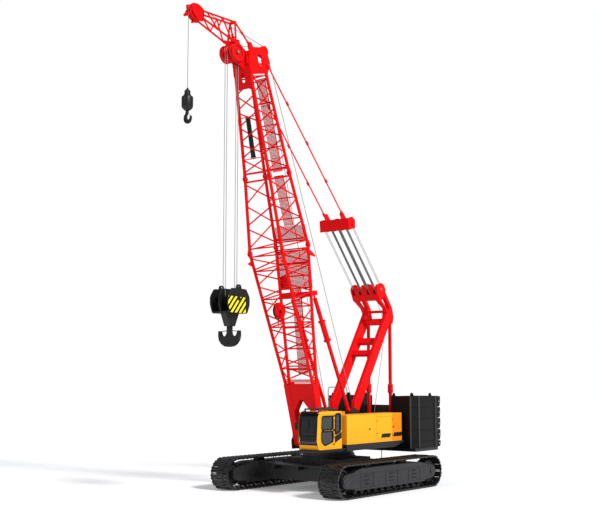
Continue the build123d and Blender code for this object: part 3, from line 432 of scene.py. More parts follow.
def tubes(starts: Points, ends: Points, radius: float, sides: int = 12) -> Surface:
    """Makes straight round tubes: a circle about each end, joined and capped.

    A point is end + radius * (a point of the unit circle square to the run).

    Args:
        starts: rows of start points in mm.
        ends: rows of end points in mm.
        radius: the radius in mm.
        sides: points round each tube.

    Returns:
        Points and faces.
    """
    starts, ends = np.atleast_2d(starts).astype(float), np.atleast_2d(ends).astype(float)
    ring = radius * hoops(*across(unit(ends - starts)), sides)
    points = np.stack([starts[:, None] + ring, ends[:, None] + ring], 1)
    base = np.arange(len(starts))[:, None, None] * 2 * sides
    quads = (grid_faces(2, sides)[None] + base).reshape(-1, 4)
    lid = np.arange(sides)[None]
    low = (lid[:, ::-1] + base[:, 0]).reshape(-1, sides)
    high = (lid + sides + base[:, 0]).reshape(-1, sides)
    return points.reshape(-1, 3), [quads, low, high]


def bar(start: Sequence[float], end: Sequence[float], radius: float, sides: int = 12) -> Surface:
    """Makes one straight round tube between two points."""
    return tubes(np.array([start], float), np.array([end], float), radius, sides)


def pipe(path: Points, radius: float, sides: int, hint: Sequence[float]) -> Surface:
    """Carries a circle along a bent path.

    Each point is path + radius * (a point of the unit circle square to the path), whose
    direction at each point is the mean of the runs on both sides.

    Args:
        path: rows of points in mm.
        radius: the radius in mm.
        sides: points round it.
        hint: a direction that the path never runs along.

    Returns:
        Points and faces.
    """
    path = np.asarray(path, float)
    return skin(path[:, None] + radius * hoops(*across(unit(np.gradient(path, axis=0)), hint), sides))


def rounded(corners: Points, radius: float, steps: int = 4) -> Points:
    """Rounds the inner corners of an open path by arcs made of quadratic curves.

    Args:
        corners: rows of corner points.
        radius: how far from each corner its curve starts.
        steps: runs in each curve.

    Returns:
        The rounded path.
    """
    corners = np.asarray(corners, float)
    before, mid, after = corners[:-2], corners[1:-1], corners[2:]
    bends = curve(mid + unit(before - mid) * radius, mid, mid + unit(after - mid) * radius, steps)
    return np.concatenate([corners[:1], bends.reshape(-1, corners.shape[1]), corners[-1:]])


def turned(profile: Points, centre: Sequence[float], axis: Sequence[float], sides: int = 40) -> Surface:
    """Turns a profile about an axis: a point is centre + along * axis + r * (cos a, sin a).

    Args:
        profile: rows of (along, radius) in mm.
        centre: a point on the axis in mm.
        axis: the axis.
        sides: points round it.

    Returns:
        Points and faces, with a lid at each end that isn't closed.
    """
    profile = np.asarray(profile, float)
    along = unit(np.asarray(axis, float))[None]
    way, out = profile[:, 0, None, None] * along, profile[:, 1, None, None] * hoops(*across(along), sides)
    return skin(np.asarray(centre, float) + way + out)


def mirrored(half: XZ) -> list[tuple[float, float]]:
    """Completes a turned profile by its own mirror image."""
    return [*half, *((-a, r) for a, r in half[::-1])]


def barrel(
    centre: Sequence[float],
    half: float,
    radius: float,
    edge: tuple[float, float] = (10, 10),
    sides: int = 28,
) -> Surface:
    """Turns a round bar that lies across the machine, both ends bevelled.

    Args:
        centre: its middle in mm.
        half: half its length.
        radius: its radius.
        edge: the bevel's length and its depth.
        sides: points round it.

    Returns:
        Points and faces.
    """
    return turned(mirrored([(-half, radius - edge[1]), (-half + edge[0], radius)]), centre, ACROSS, sides)


def boxes(low: Points, high: Points) -> Surface:
    """Makes square-edged blocks between pairs of corners.

    Args:
        low: rows of lowest corners in mm.
        high: rows of highest corners in mm.

    Returns:
        Points and faces.
    """
    low, high = np.atleast_2d(low).astype(float), np.atleast_2d(high).astype(float)
    low, high = np.minimum(low, high), np.maximum(low, high)
    pick = np.array([[i, j, k] for i in (0, 1) for j in (0, 1) for k in (0, 1)])
    points = np.where(pick[None], high[:, None], low[:, None])
    six = np.array([[0, 1, 3, 2], [4, 6, 7, 5], [0, 4, 5, 1], [2, 3, 7, 6], [0, 2, 6, 4], [1, 5, 7, 3]])
    quads = (six[None] + np.arange(len(low))[:, None, None] * 8).reshape(-1, 4)
    return points.reshape(-1, 3), [quads]


def prism(outline: XZ, holes: Sequence[XZ] = ()) -> Surface:
    """Fills a flat outline with holes at heights 0 and 1 and joins both by walls.

    Args:
        outline: its outer corners.
        holes: the corners of each hole.

    Returns:
        Points as (u, v, 0 or 1) and faces.
    """
    loops = [np.asarray(loop, float) for loop in (outline, *holes)]
    flat = np.concatenate(loops)
    count = len(flat)
    if holes:
        tris = np.array(tessellate_polygon([[Vector((*p, 0.0)) for p in loop] for loop in loops]))
    else:
        tris = np.arange(count)[None]
    points = np.concatenate([np.c_[flat, np.zeros(count)], np.c_[flat, np.ones(count)]])
    faces: Faces = [tris[:, ::-1], tris + count]
    start = 0
    for loop in loops:
        i = np.arange(len(loop))
        j = (i + 1) % len(loop)
        faces.append(np.stack([i, j, j + count, i + count], -1) + start)
        start += len(loop)
    return points, faces


def square(u0: float, v0: float, u1: float, v1: float) -> list[tuple[float, float]]:
    """Gives the four corners of a rectangle."""
    return [(u0, v0), (u1, v0), (u1, v1), (u0, v1)]


def moved(outline: XZ, u: float, v: float) -> list[tuple[float, float]]:
    """Moves an outline by (u, v)."""
    return [(u + a, v + b) for a, b in outline]


def strip(low: Sequence[float], high: Sequence[float], half: float) -> Points:
    """Gives a straight strip's outline: each end moved by half, square to the run, to both sides.

    Args:
        low: the middle of one end.
        high: the middle of the other.
        half: half its width in mm.

    Returns:
        Its four corners.
    """
    low, high = np.asarray(low, float), np.asarray(high, float)
    run = (high - low) / np.linalg.norm(high - low)
    n = np.array([-run[1], run[0]]) * half
    return np.array([low + n, high + n, high - n, low - n])


def circle(u: float, v: float, radius: float, sides: int = 24) -> Points:
    """Gives the corners of a round hole or disc about (u, v)."""
    a = np.arange(sides) * math.tau / sides
    return np.stack([u + radius * np.cos(a), v + radius * np.sin(a)], -1)


def soft(outline: XZ, radius: float, steps: int = 4) -> Points:
    """Rounds every corner of a closed outline with quadratic curves.

    Args:
        outline: its corners.
        radius: how far from each corner its curve starts.
        steps: runs in each curve.

    Returns:
        The rounded outline.
    """
    mid = np.asarray(outline, float)
    before, after = np.roll(mid, 1, 0), np.roll(mid, -1, 0)
    reach = np.minimum(radius, 0.45 * np.linalg.norm(before - mid, axis=1))
    reach = np.minimum(reach, 0.45 * np.linalg.norm(after - mid, axis=1))[:, None]
    bends = curve(mid + unit(before - mid) * reach, mid, mid + unit(after - mid) * reach, steps)
    return bends.reshape(-1, 2)


def plate_xz(outline: XZ, y0: float, y1: float, holes: Sequence[XZ] = ()) -> Surface:
    """Stands a plate in the X and Z plane, from y0 to y1."""
    p, faces = prism(outline, holes)
    return np.stack([p[:, 0], y0 + (y1 - y0) * p[:, 2], p[:, 1]], -1), faces


def plate_xy(outline: XZ, z0: float, z1: float, holes: Sequence[XZ] = ()) -> Surface:
    """Lays a plate in the X and Y plane, from z0 to z1."""
    p, faces = prism(outline, holes)
    return np.stack([p[:, 0], p[:, 1], z0 + (z1 - z0) * p[:, 2]], -1), faces


def plate_yz(outline: XZ, x0: float, x1: float, holes: Sequence[XZ] = ()) -> Surface:
    """Stands a plate in the Y and Z plane, from x0 to x1."""
    p, faces = prism(outline, holes)
    return np.stack([x0 + (x1 - x0) * p[:, 2], p[:, 0], p[:, 1]], -1), faces


class Form:
    """Surfaces gathered for one piece, with the rope map where it needs one."""

    def __init__(self) -> None:
        """Starts empty."""
        self.points: list[Points] = []
        self.faces: Faces = []
        self.count = 0

    def add(self, *surfaces: Surface) -> Form:
        """Adds surfaces to the piece.

        Args:
            surfaces: points in mm and faces.

        Returns:
            The form itself.
        """
        for points, faces in surfaces:
            self.points.append(np.asarray(points, float))
            self.faces.extend(np.asarray(f) + self.count for f in faces)
            self.count += len(points)
        return self

    def both_sides(self, *surfaces: Surface) -> Form:
        """Adds surfaces and their mirror images across the machine's middle plane.

        Args:
            surfaces: points in mm and faces.

        Returns:
            The form itself.
        """
        for points, faces in surfaces:
            self.add((points, faces))
            self.add((np.asarray(points) * (1.0, -1.0, 1.0), [np.asarray(f)[:, ::-1] for f in faces]))
        return self

    def whole(self) -> Surface:
        """Gives everything gathered as one surface."""
        return np.concatenate(self.points), self.faces

    def mesh(self, name: str) -> bpy.types.Mesh:
        """Turns the form into a mesh in metres with its faces pointing outwards.

        Args:
            name: the mesh's name.

        Returns:
            The mesh.
        """
        mesh = bpy.data.meshes.new(name)
        points = np.concatenate(self.points) * MM
        mesh.from_pydata(points.tolist(), [], [f for rows in self.faces for f in rows.tolist()])
        work = bmesh.new()
        work.from_mesh(mesh)
        bmesh.ops.recalc_face_normals(work, faces=work.faces)
        work.to_mesh(mesh)
        work.free()
        mesh.validate()
        mesh.shade_smooth()
        mesh.set_sharp_from_angle(angle=math.radians(32.0))
        return mesh


def add_object(name: str, data: bpy.types.ID) -> bpy.types.Object:
    """Puts a new object into the scene.

    Args:
        name: its name.
        data: its mesh, lamp or camera.

    Returns:
        The object.
    """
    item = bpy.data.objects.new(name, data)
    bpy.context.scene.collection.objects.link(item)
    return item


def rope_map(mesh: bpy.types.Mesh, around: Points, along: Points) -> None:
    """Writes the rope map, by which the strands are drawn, from values at each vertex.

    Args:
        mesh: the rope's mesh.
        around: strands counted round the rope.
        along: strands counted along it.
    """
    layer = mesh.uv_layers.new(name="rope")
    index = np.zeros(len(mesh.loops), np.int64)
    mesh.loops.foreach_get("vertex_index", index)
    layer.data.foreach_set("uv", np.stack([around, along], -1)[index].ravel())


class Workshop:
    """Turns forms into finished pieces that ride on the frame's bodies."""

    def __init__(self, frame: dict, paint: PaintShop) -> None:
        """Keeps the frame and the paint shop.

        Args:
            paint: the maker of materials.
        """
        self.frame = frame
        self.paint = paint

    def piece(
        self,
        name: str,
        form: Form,
        finish: Finish,
        body: str,
        slot: str = "",
        instead_of: Sequence[str] = (),
        bevel: float = 0.0,
    ) -> bpy.types.Object:
        """Makes one piece of the object.

        Args:
            name: its plain name.
            form: its surfaces.
            finish: its finish.
            body: the CAD body that it rides on.
            slot: the record's material slot, if it has one; not used.
            instead_of: CAD nodes that it stands for.
            bevel: the width in mm of its broken edges, or 0.

        Returns:
            The object.
        """
        item = add_object(name, form.mesh(name))
        item.data.materials.append(self.paint.get(finish))
        if bevel:
            edge = item.modifiers.new("edge", "BEVEL")
            edge.width = bevel * MM
            edge.segments = 2
            edge.limit_method = "ANGLE"
            edge.angle_limit = math.radians(40.0)
        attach(item, body)
        if instead_of:
            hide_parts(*instead_of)
        LOG.info("piece %s: %d faces on %s", name, len(item.data.polygons), body)
        return item

    def dress(self, finish: Finish, *nodes: str) -> None:
        """Gives CAD nodes that stay in view their finish.

        Args:
            finish: the finish.
            nodes: the nodes' names.
        """
        for node in nodes:
            data = self.frame["nodes"][node].data
            data.materials.clear()
            data.materials.append(self.paint.get(finish))

    def rope(
        self,
        name: str,
        starts: Points,
        ends: Points,
        radius: float,
        bodies: tuple[str, str],
        lay_mm: float = 90.0,
        instead_of: Sequence[str] = (),
    ) -> bpy.types.Object:
        """Makes straight ropes between given points.

        The tubes have points at their ends only, so a rope stays straight.

        Args:
            name: the piece's name.
            starts: rows of start points in mm.
            ends: rows of end points in mm.
            radius: the rope's radius in mm.
            bodies: the two bodies, which one joint joins.
            lay_mm: the length in which a strand goes once round.
            instead_of: CAD nodes that it stands for.

        Returns:
            The object.
        """
        sides = 10
        surface = tubes(starts, ends, radius, sides)
        item = add_object(name, Form().add(surface).mesh(name))
        item.data.materials.append(self.paint.get(ROPE_STEEL))
        run = np.linalg.norm(np.atleast_2d(ends) - np.atleast_2d(starts), axis=1) / lay_mm * STRANDS
        along = np.stack([np.zeros((len(run), sides)), np.repeat(run[:, None], sides, 1)], 1).ravel()
        rope_map(item.data, np.arange(len(along)) % sides / sides * STRANDS, along)
        one = np.zeros(len(item.data.vertices), np.float32)
        one.reshape(-1, 2, sides)[:, 1] = 1.0
        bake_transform(item)
        if instead_of:
            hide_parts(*instead_of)
        LOG.info("rope %s: %d falls between %s", name, len(one) // (2 * sides), bodies)
        return item


# ---- boom axes ----


@dataclass(frozen=True)
class BoomAxes:
    """The boom's own axes: s along it from the foot pin, n towards its front face."""

    foot_x: float = 1470.0
    foot_z: float = 2250.0
    angle: float = 75.2

    def at(self, s: Points, n: Points, y: Points) -> Points:
        """Gives frame points: foot + s * (cos, 0, sin) + n * (sin, 0, -cos) + y.

        Args:
            s: distance along the boom in mm.
            n: distance towards its front face.
            y: distance to the left.

        Returns:
            Rows of X, Y and Z.
        """
        s, n, y = np.broadcast_arrays(np.asarray(s, float), np.asarray(n, float), np.asarray(y, float))
        c, d = math.cos(math.radians(self.angle)), math.sin(math.radians(self.angle))
        return np.stack([self.foot_x + s * c + n * d, y, self.foot_z + s * d - n * c], -1)

    def place(self, surface: Surface) -> Surface:
        """Moves a surface given in (s, n, y) to the frame's axes."""
        p, faces = surface
        return self.at(p[:, 0], p[:, 1], p[:, 2]), faces

    def side_plate(self, outline: XZ, y0: float, y1: float, holes: Sequence[XZ] = ()) -> Surface:
        """Stands a plate in the boom's s and n, from y0 to y1."""
        p, faces = prism(outline, holes)
        return self.at(p[:, 0], p[:, 1], y0 + (y1 - y0) * p[:, 2]), faces

    def face_plate(self, outline: XZ, n0: float, n1: float, holes: Sequence[XZ] = ()) -> Surface:
        """Lays a plate in the boom's s and y, from n0 to n1."""
        p, faces = prism(outline, holes)
        return self.at(p[:, 0], n0 + (n1 - n0) * p[:, 2], p[:, 1]), faces


AXES = BoomAxes()
GANTRY_PIN = (-3510.0, 9910.0)  # X and Z of the rope pin in the gantry's head
BAIL_PIN = (-820.0, 13000.0)  # the same in the bail
TIP_PIN = (9770.0, 21180.0)  # the same in the tip extension
HOOK_X, BLOCK_Z = 7284.8, 8760.0  # the main falls' middle and the height of the block's pin
FALL_Y = 67.0  # each main fall's distance from the middle plane


# ---- boom ----


@dataclass(frozen=True)
class SectionSize:
    """One lattice section: where it runs, its width and depth at both ends, its bays."""

    name: str
    s0: float
    s1: float
    w0: float
    w1: float
    d0: float
    d1: float
    bays: int
    flip: int = 0
    frames: tuple[int, ...] = ()

    def half(self, s: Points, inset: float) -> tuple[Points, Points]:
        """Gives half the width and depth between chord centres at s.

        Args:
            s: distance along the boom.
            inset: the chord's radius.

        Returns:
            Half width and half depth.
        """
        f = (np.asarray(s, float) - self.s0) / (self.s1 - self.s0)
        wide = (self.w0 + (self.w1 - self.w0) * f) / 2 - inset
        deep = (self.d0 + (self.d1 - self.d0) * f) / 2 - inset
        return wide, deep


FOOT_SECTION = SectionSize("boom_foot", 2800, 9400, 1787, 2110, 420, 2130, 9, 0, (1, 4, 6, 8))
INSERT_SECTION = SectionSize("boom_insert", 9400, 12890, 2110, 1620, 2130, 1640, 3, 1)
HEAD_SECTION = SectionSize("boom_head", 12890, 17660, 1620, 1060, 1640, 1240, 6)
HEAD_PLATE = (
    (17560, -620),
    (17560, 620),
    (18300, 560),
    (18760, 440),
    (19020, 400),
    (19020, 230),
    (18780, 150),
    (18780, -300),
    (18850, -780),
    (18000, -900),
)
NOSE_PLATE = (
    (17700, 480),
    (18200, 1050),
    (18420, 1330),
    (18780, 1330),
    (19220, 1150),
    (19230, 960),
    (18900, 600),
    (18700, 300),
)


@dataclass
class LatticeBoom:
    """The boom: round tubes, pinned joints, foot legs, head plates, walkways, guide sheave."""

    shop: Workshop
    chord_r: float = 75.0
    brace_r: float = 34.0
    walk_gap: float = 12.0
    walk_thick: float = 30.0
    mesh_pitch: float = 60.0
    mesh_bar: float = 23.0
    nest_pin: tuple[float, float] = (18600.0, 1100.0)
    rear_pin: tuple[float, float] = (18660.0, -1120.0)
    guide: tuple[float, float, float] = (6500.0, 300.0, -350.0)

    def corner(self, sec: SectionSize, s: Points, i: Points, j: Points) -> Points:
        """Gives chord centre points at s: i is -1 right and 1 left, j is -1 rear and 1 front."""
        wide, deep = sec.half(s, self.chord_r)
        return AXES.at(s, np.asarray(j) * deep, np.asarray(i) * wide)

    def lattice(self, sec: SectionSize) -> Form:
        """Makes the chords, cross frames and zigzag braces of one section.

        Args:
            sec: the section.

        Returns:
            The form with all its tubes.
        """
        i, j, k = np.array([-1, -1, 1, 1]), np.array([-1, 1, -1, 1]), np.array([-1, 1])
        ends = self.corner(sec, sec.s0 + 20, i, j), self.corner(sec, sec.s1 - 20, i, j)
        form = Form().add(tubes(*ends, self.chord_r, 20))
        low, high = sec.s0 + 190, sec.s1 - 190
        step = (high - low) / sec.bays
        for s, shift in ((low, 25), (high, 25), *((low + b * step, 0) for b in sec.frames)):
            form.add(self.bar(sec, s, k, -1, s, k, 1), self.bar(sec, s + shift, -1, k, s + shift, 1, k))
        b, k = np.repeat(np.arange(sec.bays), 2), np.tile([-1, 1], sec.bays)
        e = np.where((b + sec.flip + (k > 0)) % 2 == 1, 1, -1)
        s0, s1 = low + b * step + 60, low + (b + 1) * step - 60
        form.add(self.bar(sec, s0, k, e, s1, k, -e), self.bar(sec, s0 + 30, -e, k, s1 - 30, e, k))
        return form

    def bar(self, sec: SectionSize, *ends: Points) -> Surface:
        """Makes thin tubes between chords; each end is its s, its i and its j."""
        return tubes(self.corner(sec, *ends[:3]), self.corner(sec, *ends[3:]), self.brace_r, 14)

    def joint(self, sec: SectionSize, at: float, inward: int, fork: bool) -> Surface:
        """Makes the four pin joints at one end of a section: sockets with forks or tongues.

        Args:
            sec: the section.
            at: the joint's place along the boom.
            inward: 1 where the section runs on from it, -1 where it ends there.
            fork: whether this end has the two outer ears.

        Returns:
            The surface of all four.
        """
        form = Form()
        wide, deep = sec.half(at, self.chord_r)
        for i in (-1, 1):
            for j in (-1, 1):
                y, n = i * wide, j * deep
                form.add(bar(*AXES.at(np.array([at + inward * 95, at + inward * 165]), n, y), 92.0, 20))
                ear = [(at - inward * 78, n - 78), (at + inward * 110, n - 88)]
                ear += [(at + inward * 110, n + 88), (at - inward * 78, n + 78)]
                for y0, y1 in ((-92, -42), (42, 92)) if fork else ((-36, 36),):
                    form.add(AXES.side_plate(soft(ear, 70, 5), y + y0, y + y1))
        return form.whole()

    def joint_pins(self, places: Sequence[tuple[SectionSize, float]]) -> Form:
        """Makes the plated pins through the joints, with their heads.

        Args:
            places: a section and the joint's place for each.

        Returns:
            The form.
        """
        form = Form()
        line = [(-118, 52), (-100, 52), (-100, 42), (104, 42), (104, 30), (112, 30)]
        for sec, at in places:
            wide, deep = sec.half(at, self.chord_r)
            for i in (-1, 1):
                for j in (-1, 1):
                    form.add(turned(line, AXES.at(at, j * deep, i * wide), (0, i, 0), 20))
        return form

    def back(self, sec: SectionSize, s: Points) -> Points:
        """Gives the walkway's underside at s, just behind the rear chords."""
        return -sec.half(s, 0.0)[1] - self.walk_gap

    def bearers(self, sec: SectionSize, places: Sequence[float]) -> Surface:
        """Makes the cross bars that carry the walkway.

        Args:
            sec: the section.
            places: where they lie along the boom.

        Returns:
            The surface of all of them.
        """
        form = Form()
        for s in places:
            half = float(sec.half(s, self.chord_r)[0])
            a, b = float(self.back(sec, s - 30)), float(self.back(sec, s + 30))
            outline = [(s - 30, a), (s + 30, b), (s + 30, b + 50), (s - 30, a + 50)]
            form.add(AXES.side_plate(outline, -half, half))
        return form.whole()

    def build_foot(self) -> None:
        """Makes the foot section: two box legs, hubs, pins, cross beam, stop ears and forks."""
        sec = FOOT_SECTION
        form = self.lattice(sec).add(self.joint(sec, sec.s1, -1, True))
        form.add(self.bearers(sec, (3500, 4500, 5500, 6500, 7350, 7950, 8550, 9130)))
        self.shop.piece("boom_foot_tubes", form, BOOM_PAINT, "boom", "boom_red", ("boom_foot",))
        plates = Form()
        leg = [(0, 480), (0, 822), (2900, 896), (2900, 560)]
        ear = soft([(6930, -660), (7170, -660), (7110, -1400), (6880, -1400)], 60)
        fork = soft([(9050, 1000), (8750, 940), (8920, 1230), (8980, 1240)], 30)
        fin = soft([(8900, -920), (9230, -960), (8800, -1420), (8700, -1400)], 30)
        plates.both_sides(AXES.face_plate(leg, -215, 215), AXES.side_plate(fork, 960, 990))
        plates.both_sides(AXES.side_plate(ear, 590, 622), AXES.side_plate(ear, 738, 770))
        plates.add(AXES.side_plate(fin, 970, 990))
        plates.add(AXES.side_plate(square(6930, -735, 7180, -655), -930, 930))
        web = [(1500, -530), (2850, -610), (2850, 610), (1500, 530), (2150, 60), (2150, -60)]
        plates.add(AXES.face_plate(web, -200, 200))
        self.shop.piece("boom_foot_plates", plates, BOOM_PAINT, "boom", "boom_red", bevel=10)
        hubs, pins = Form(), Form()
        hubs.both_sides(barrel((AXES.foot_x, 651, AXES.foot_z), 180, 235, (20, 45), 48))
        pins.both_sides(barrel((AXES.foot_x, 652, AXES.foot_z), 282, 80, (12, 20), 32))
        self.shop.piece("boom_foot_hubs", hubs, BOOM_PAINT, "boom", "boom_red", bevel=6)
        self.shop.piece("boom_foot_pins", pins, PIN_STEEL, "boom")

    def build_insert(self) -> None:
        """Makes the middle section and the pins of both joints."""
        sec = INSERT_SECTION
        form = self.lattice(sec).add(self.joint(sec, sec.s0, 1, False), self.joint(sec, sec.s1, -1, True))
        form.add(self.bearers(sec, (9700, 10700, 11700, 12700)))
        self.shop.piece("boom_insert_tubes", form, BOOM_PAINT, "boom", "boom_red", ("boom_insert",))
        pins = self.joint_pins(((sec, sec.s0), (sec, sec.s1)))
        self.shop.piece("boom_joint_pins", pins, PIN_STEEL, "boom")

    def build_head(self) -> None:
        """Makes the head section: tubes, side plates, nose plates, slotted front plate, pins."""
        sec = HEAD_SECTION
        form = self.lattice(sec).add(self.joint(sec, sec.s0, 1, False))
        form.add(self.bearers(sec, (13150, 14150, 15200, 16250, 17300)))
        self.shop.piece("boom_head_tubes", form, BOOM_PAINT, "boom", "boom_red", ("boom_head",))
        slot = soft([(17920, -330), (17920, -60), (18450, -60), (18450, -330)], 100, 6)
        arm = soft([(18500, -760), (18820, -760), (18800, -1300), (18560, -1300)], 90, 5)
        plates = Form().both_sides(
            AXES.side_plate(soft(HEAD_PLATE, 60, 4), 470, 530, (slot,)),
            AXES.side_plate(soft(NOSE_PLATE, 110, 5), 140, 190),
            AXES.side_plate(arm, 170, 210),
        )
        front = [(16950, -520), (18100, -470), (18100, 470), (16950, 520)]
        hole = soft(square(17250, -90, 17700, 90), 90, 7)
        plates.add(
            AXES.face_plate(square(18000, -470, 18060, 470), -700, 600),
            AXES.face_plate(square(18560, -470, 18760, 470), -780, -700),
            AXES.face_plate(front, 560, 600, (hole,)),
        )
        self.shop.piece("boom_head_plates", plates, BOOM_PAINT, "boom", "boom_red", bevel=8)
        pins = Form()
        for (s, n), half, r in ((self.nest_pin, 440, 60), (self.rear_pin, 224, 45)):
            pins.add(barrel(AXES.at(s, n, 0), half, r, (10, 12), 32))
        self.shop.piece("boom_head_pins", pins, PIN_STEEL, "boom")

    def mesh_panel(self, sec: SectionSize, s0: float, s1: float, y0: float, y1: float) -> Surface:
        """Makes one open mesh panel: flat bars crossing at the mesh's pitch.

        Args:
            sec: the section behind which it lies.
            s0: its lower end.
            s1: its upper end.
            y0: its right edge.
            y1: its left edge.

        Returns:
            The surface of all its bars.
        """
        p, half = self.mesh_pitch, self.mesh_bar / 2
        s = np.arange(s0 + p, s1 - half, p)
        y = np.arange(y0 + p, y1 - half, p)
        low = np.concatenate([np.stack([s - half, 0 * s + y0], -1), np.stack([0 * y + s0, y - half], -1)])
        high = np.concatenate([np.stack([s + half, 0 * s + y1], -1), np.stack([0 * y + s1, y + half], -1)])
        points, faces = boxes(np.insert(low, 1, 8.0, 1), np.insert(high, 1, 20.0, 1))
        return AXES.at(points[:, 0], self.back(sec, points[:, 0]) - points[:, 1], points[:, 2]), faces

    def build_walkway(self) -> None:
        """Makes the walkways and the wide platform: open mesh in frames, one closed plate."""
        mesh, frames = Form(), Form()
        runs = (
            (FOOT_SECTION, 3300, 7300, 275),
            *((FOOT_SECTION, s, s + 600, 960) for s in (7320, 7950, 8580)),
            (INSERT_SECTION, 9620, 10350, 940),
            (INSERT_SECTION, 10370, 12800, 275),
            (HEAD_SECTION, 12980, 17400, 275),
        )
        for sec, s0, s1, half in runs:
            mesh.add(self.mesh_panel(sec, s0, s1, -half + 20, half - 20))
            a, b = float(self.back(sec, s0)), float(self.back(sec, s1))
            t = self.walk_thick
            frames.both_sides(AXES.side_plate([(s0, a), (s1, b), (s1, b - t), (s0, a - t)], half - 20, half))
            for s in np.linspace(s0, s1 - 22, max(2, round((s1 - s0) / 640) + 1)):
                n = float(self.back(sec, s))
                frames.add(AXES.side_plate(square(s, n, s + 22, n - t), -half, half))
        s0, s1 = 7330.0, 7910.0
        a, b = float(self.back(FOOT_SECTION, s0)), float(self.back(FOOT_SECTION, s1))
        frames.add(AXES.side_plate([(s0, a - 4), (s1, b - 4), (s1, b - 26), (s0, a - 26)], -945, -370))
        self.shop.piece("walkway_mesh", mesh, TREAD_STEEL, "boom", "boom_red", ("boom_walkway",))
        self.shop.piece("walkway_frames", frames, BOOM_PAINT, "boom", "boom_red")

    def build_inside(self) -> None:
        """Makes what the lattice carries: a guide sheave low down, a rope roller high up."""
        s, n, y = self.guide
        disc = [(-58, 50), (-58, 330), (-74, 350), (-74, 396), (-60, 400), (-40, 384)]
        wheel = Form().add(turned(mirrored(disc), AXES.at(s, n, y), ACROSS, 48))
        hanger = [(7180, 655), (7090, 640), (s - 120, n - 60), (s - 120, n + 60), (s + 60, n + 130)]
        stay = [(5710, 450), (5800, 470), (s + 90, n + 60), (s + 90, n - 60), (s - 60, n - 90)]
        for side in (-95.0, 80.0):
            wheel.add(*(AXES.side_plate(soft(p, 40), y + side, y + side + 15) for p in (hanger, stay)))
        self.shop.piece("guide_sheave", wheel, BOOM_PAINT, "boom", "boom_red", bevel=3)
        tyre = mirrored([(-48, 372), (-48, 396)])
        dark = Form().add(turned(tyre, AXES.at(s, n, y), ACROSS, 48))
        dark.add(barrel(AXES.at(s, n, y), 110, 48, (10, 8), 24))
        low, high = AXES.at(13800.0, 560.0, -180.0), AXES.at(15640.0, 500.0, -180.0)
        reach = float(np.linalg.norm(high - low))
        line = [(0, 40), (0, 128), (60, 128), (60, 108), (reach - 60, 108), (reach - 60, 128)]
        line += [(reach, 128), (reach, 40)]
        dark.add(turned(line, low, high - low, 32))
        self.shop.piece("guide_sheave_rim_and_rope_roller", dark, RUBBER, "boom")
        arms = Form()
        for at, depth in ((13760.0, 620.0), (15680.0, 560.0)):
            wide, deep = (float(v) for v in HEAD_SECTION.half(at, self.chord_r))
            arms.add(bar(*AXES.at(at, deep, np.array([-wide, wide])), 22.0))
            flag = square(at - 25, deep, at + 25, depth - 140)
            arms.add(AXES.side_plate(flag, -230, -130))
        self.shop.piece("rope_roller_arms", arms, BOOM_PAINT, "boom", "boom_red")

    def build(self) -> None:
        """Builds the whole boom."""
        self.build_foot()
        self.build_insert()
        self.build_head()
        self.build_walkway()
        self.build_inside()


# ---- sheaves, drums and ropes ----


def sheave_line(rim: float, groove: float, half: float, bore: float) -> list[tuple[float, float]]:
    """Gives one sheave's turned profile: hub, thin web, flanges and rounded groove.

    Args:
        rim: its outer radius in mm.
        groove: the radius of the groove's floor.
        half: half its width.
        bore: the radius of its bore.

    Returns:
        Rows of (along, radius).
    """
    web, hub, inner = half * 0.45, bore * 1.8, groove - 0.12 * rim
    left = [(-half, bore), (-half, hub), (-web, hub + 8), (-web, inner - 8), (-half * 0.9, inner)]
    left += [(-half, rim - 6), (-half + 5, rim), (-half + 14, rim), (-20, groove + 8), (-12, groove + 1)]
    return mirrored(left)


@dataclass(frozen=True)
class SheaveSet:
    """Like sheaves side by side on one pin; each place is Y and half a width.

    They ride on the body that has their CAD node's name.
    """

    name: str
    body: str
    centre: tuple[float, float]
    places: tuple[tuple[float, float], ...]
    rim: float
    groove: float
    bore: float


def tangent(
    a: Sequence[float], ra: float, b: Sequence[float], rb: float, side: int
) -> tuple[Points, Points]:
    """Finds where a straight rope leaves one circle and meets another.

    Both radii positive keeps it on one side; a negative second radius makes it cross over.

    Args:
        a: the first centre, X and Z.
        ra: its radius.
        b: the second centre.
        rb: its radius.
        side: 1 for the left of the way from a to b, -1 for the right.

    Returns:
        The two points, X and Z.
    """
    a, b = np.asarray(a, float), np.asarray(b, float)
    run = float(np.linalg.norm(b - a))
    u = (b - a) / run
    left = np.array([-u[1], u[0]]) * side
    lean = (ra - rb) / run
    normal = u * lean + left * math.sqrt(1 - lean * lean)
    return a + normal * ra, b + normal * rb


def arc(centre: Sequence[float], start: Points, end: Points, y: float, steps: int = 14) -> Points:
    """Gives points on the shorter arc between two points on a circle in the X and Z plane.

    Args:
        centre: the circle's centre, X and Z.
        start: its first point.
        end: its last point.
        y: the distance to the left.
        steps: runs in it.

    Returns:
        Rows of X, Y and Z.
    """
    c, p, q = (np.asarray(v, float) for v in (centre, start, end))
    r = float(np.linalg.norm(p - c))
    a, b = math.atan2(*(p - c)[::-1]), math.atan2(*(q - c)[::-1])
    turn = (b - a + math.pi) % math.tau - math.pi
    t = a + turn * np.linspace(0, 1, steps + 1)
    return np.stack([c[0] + r * np.cos(t), np.full(steps + 1, y), c[1] + r * np.sin(t)], -1)


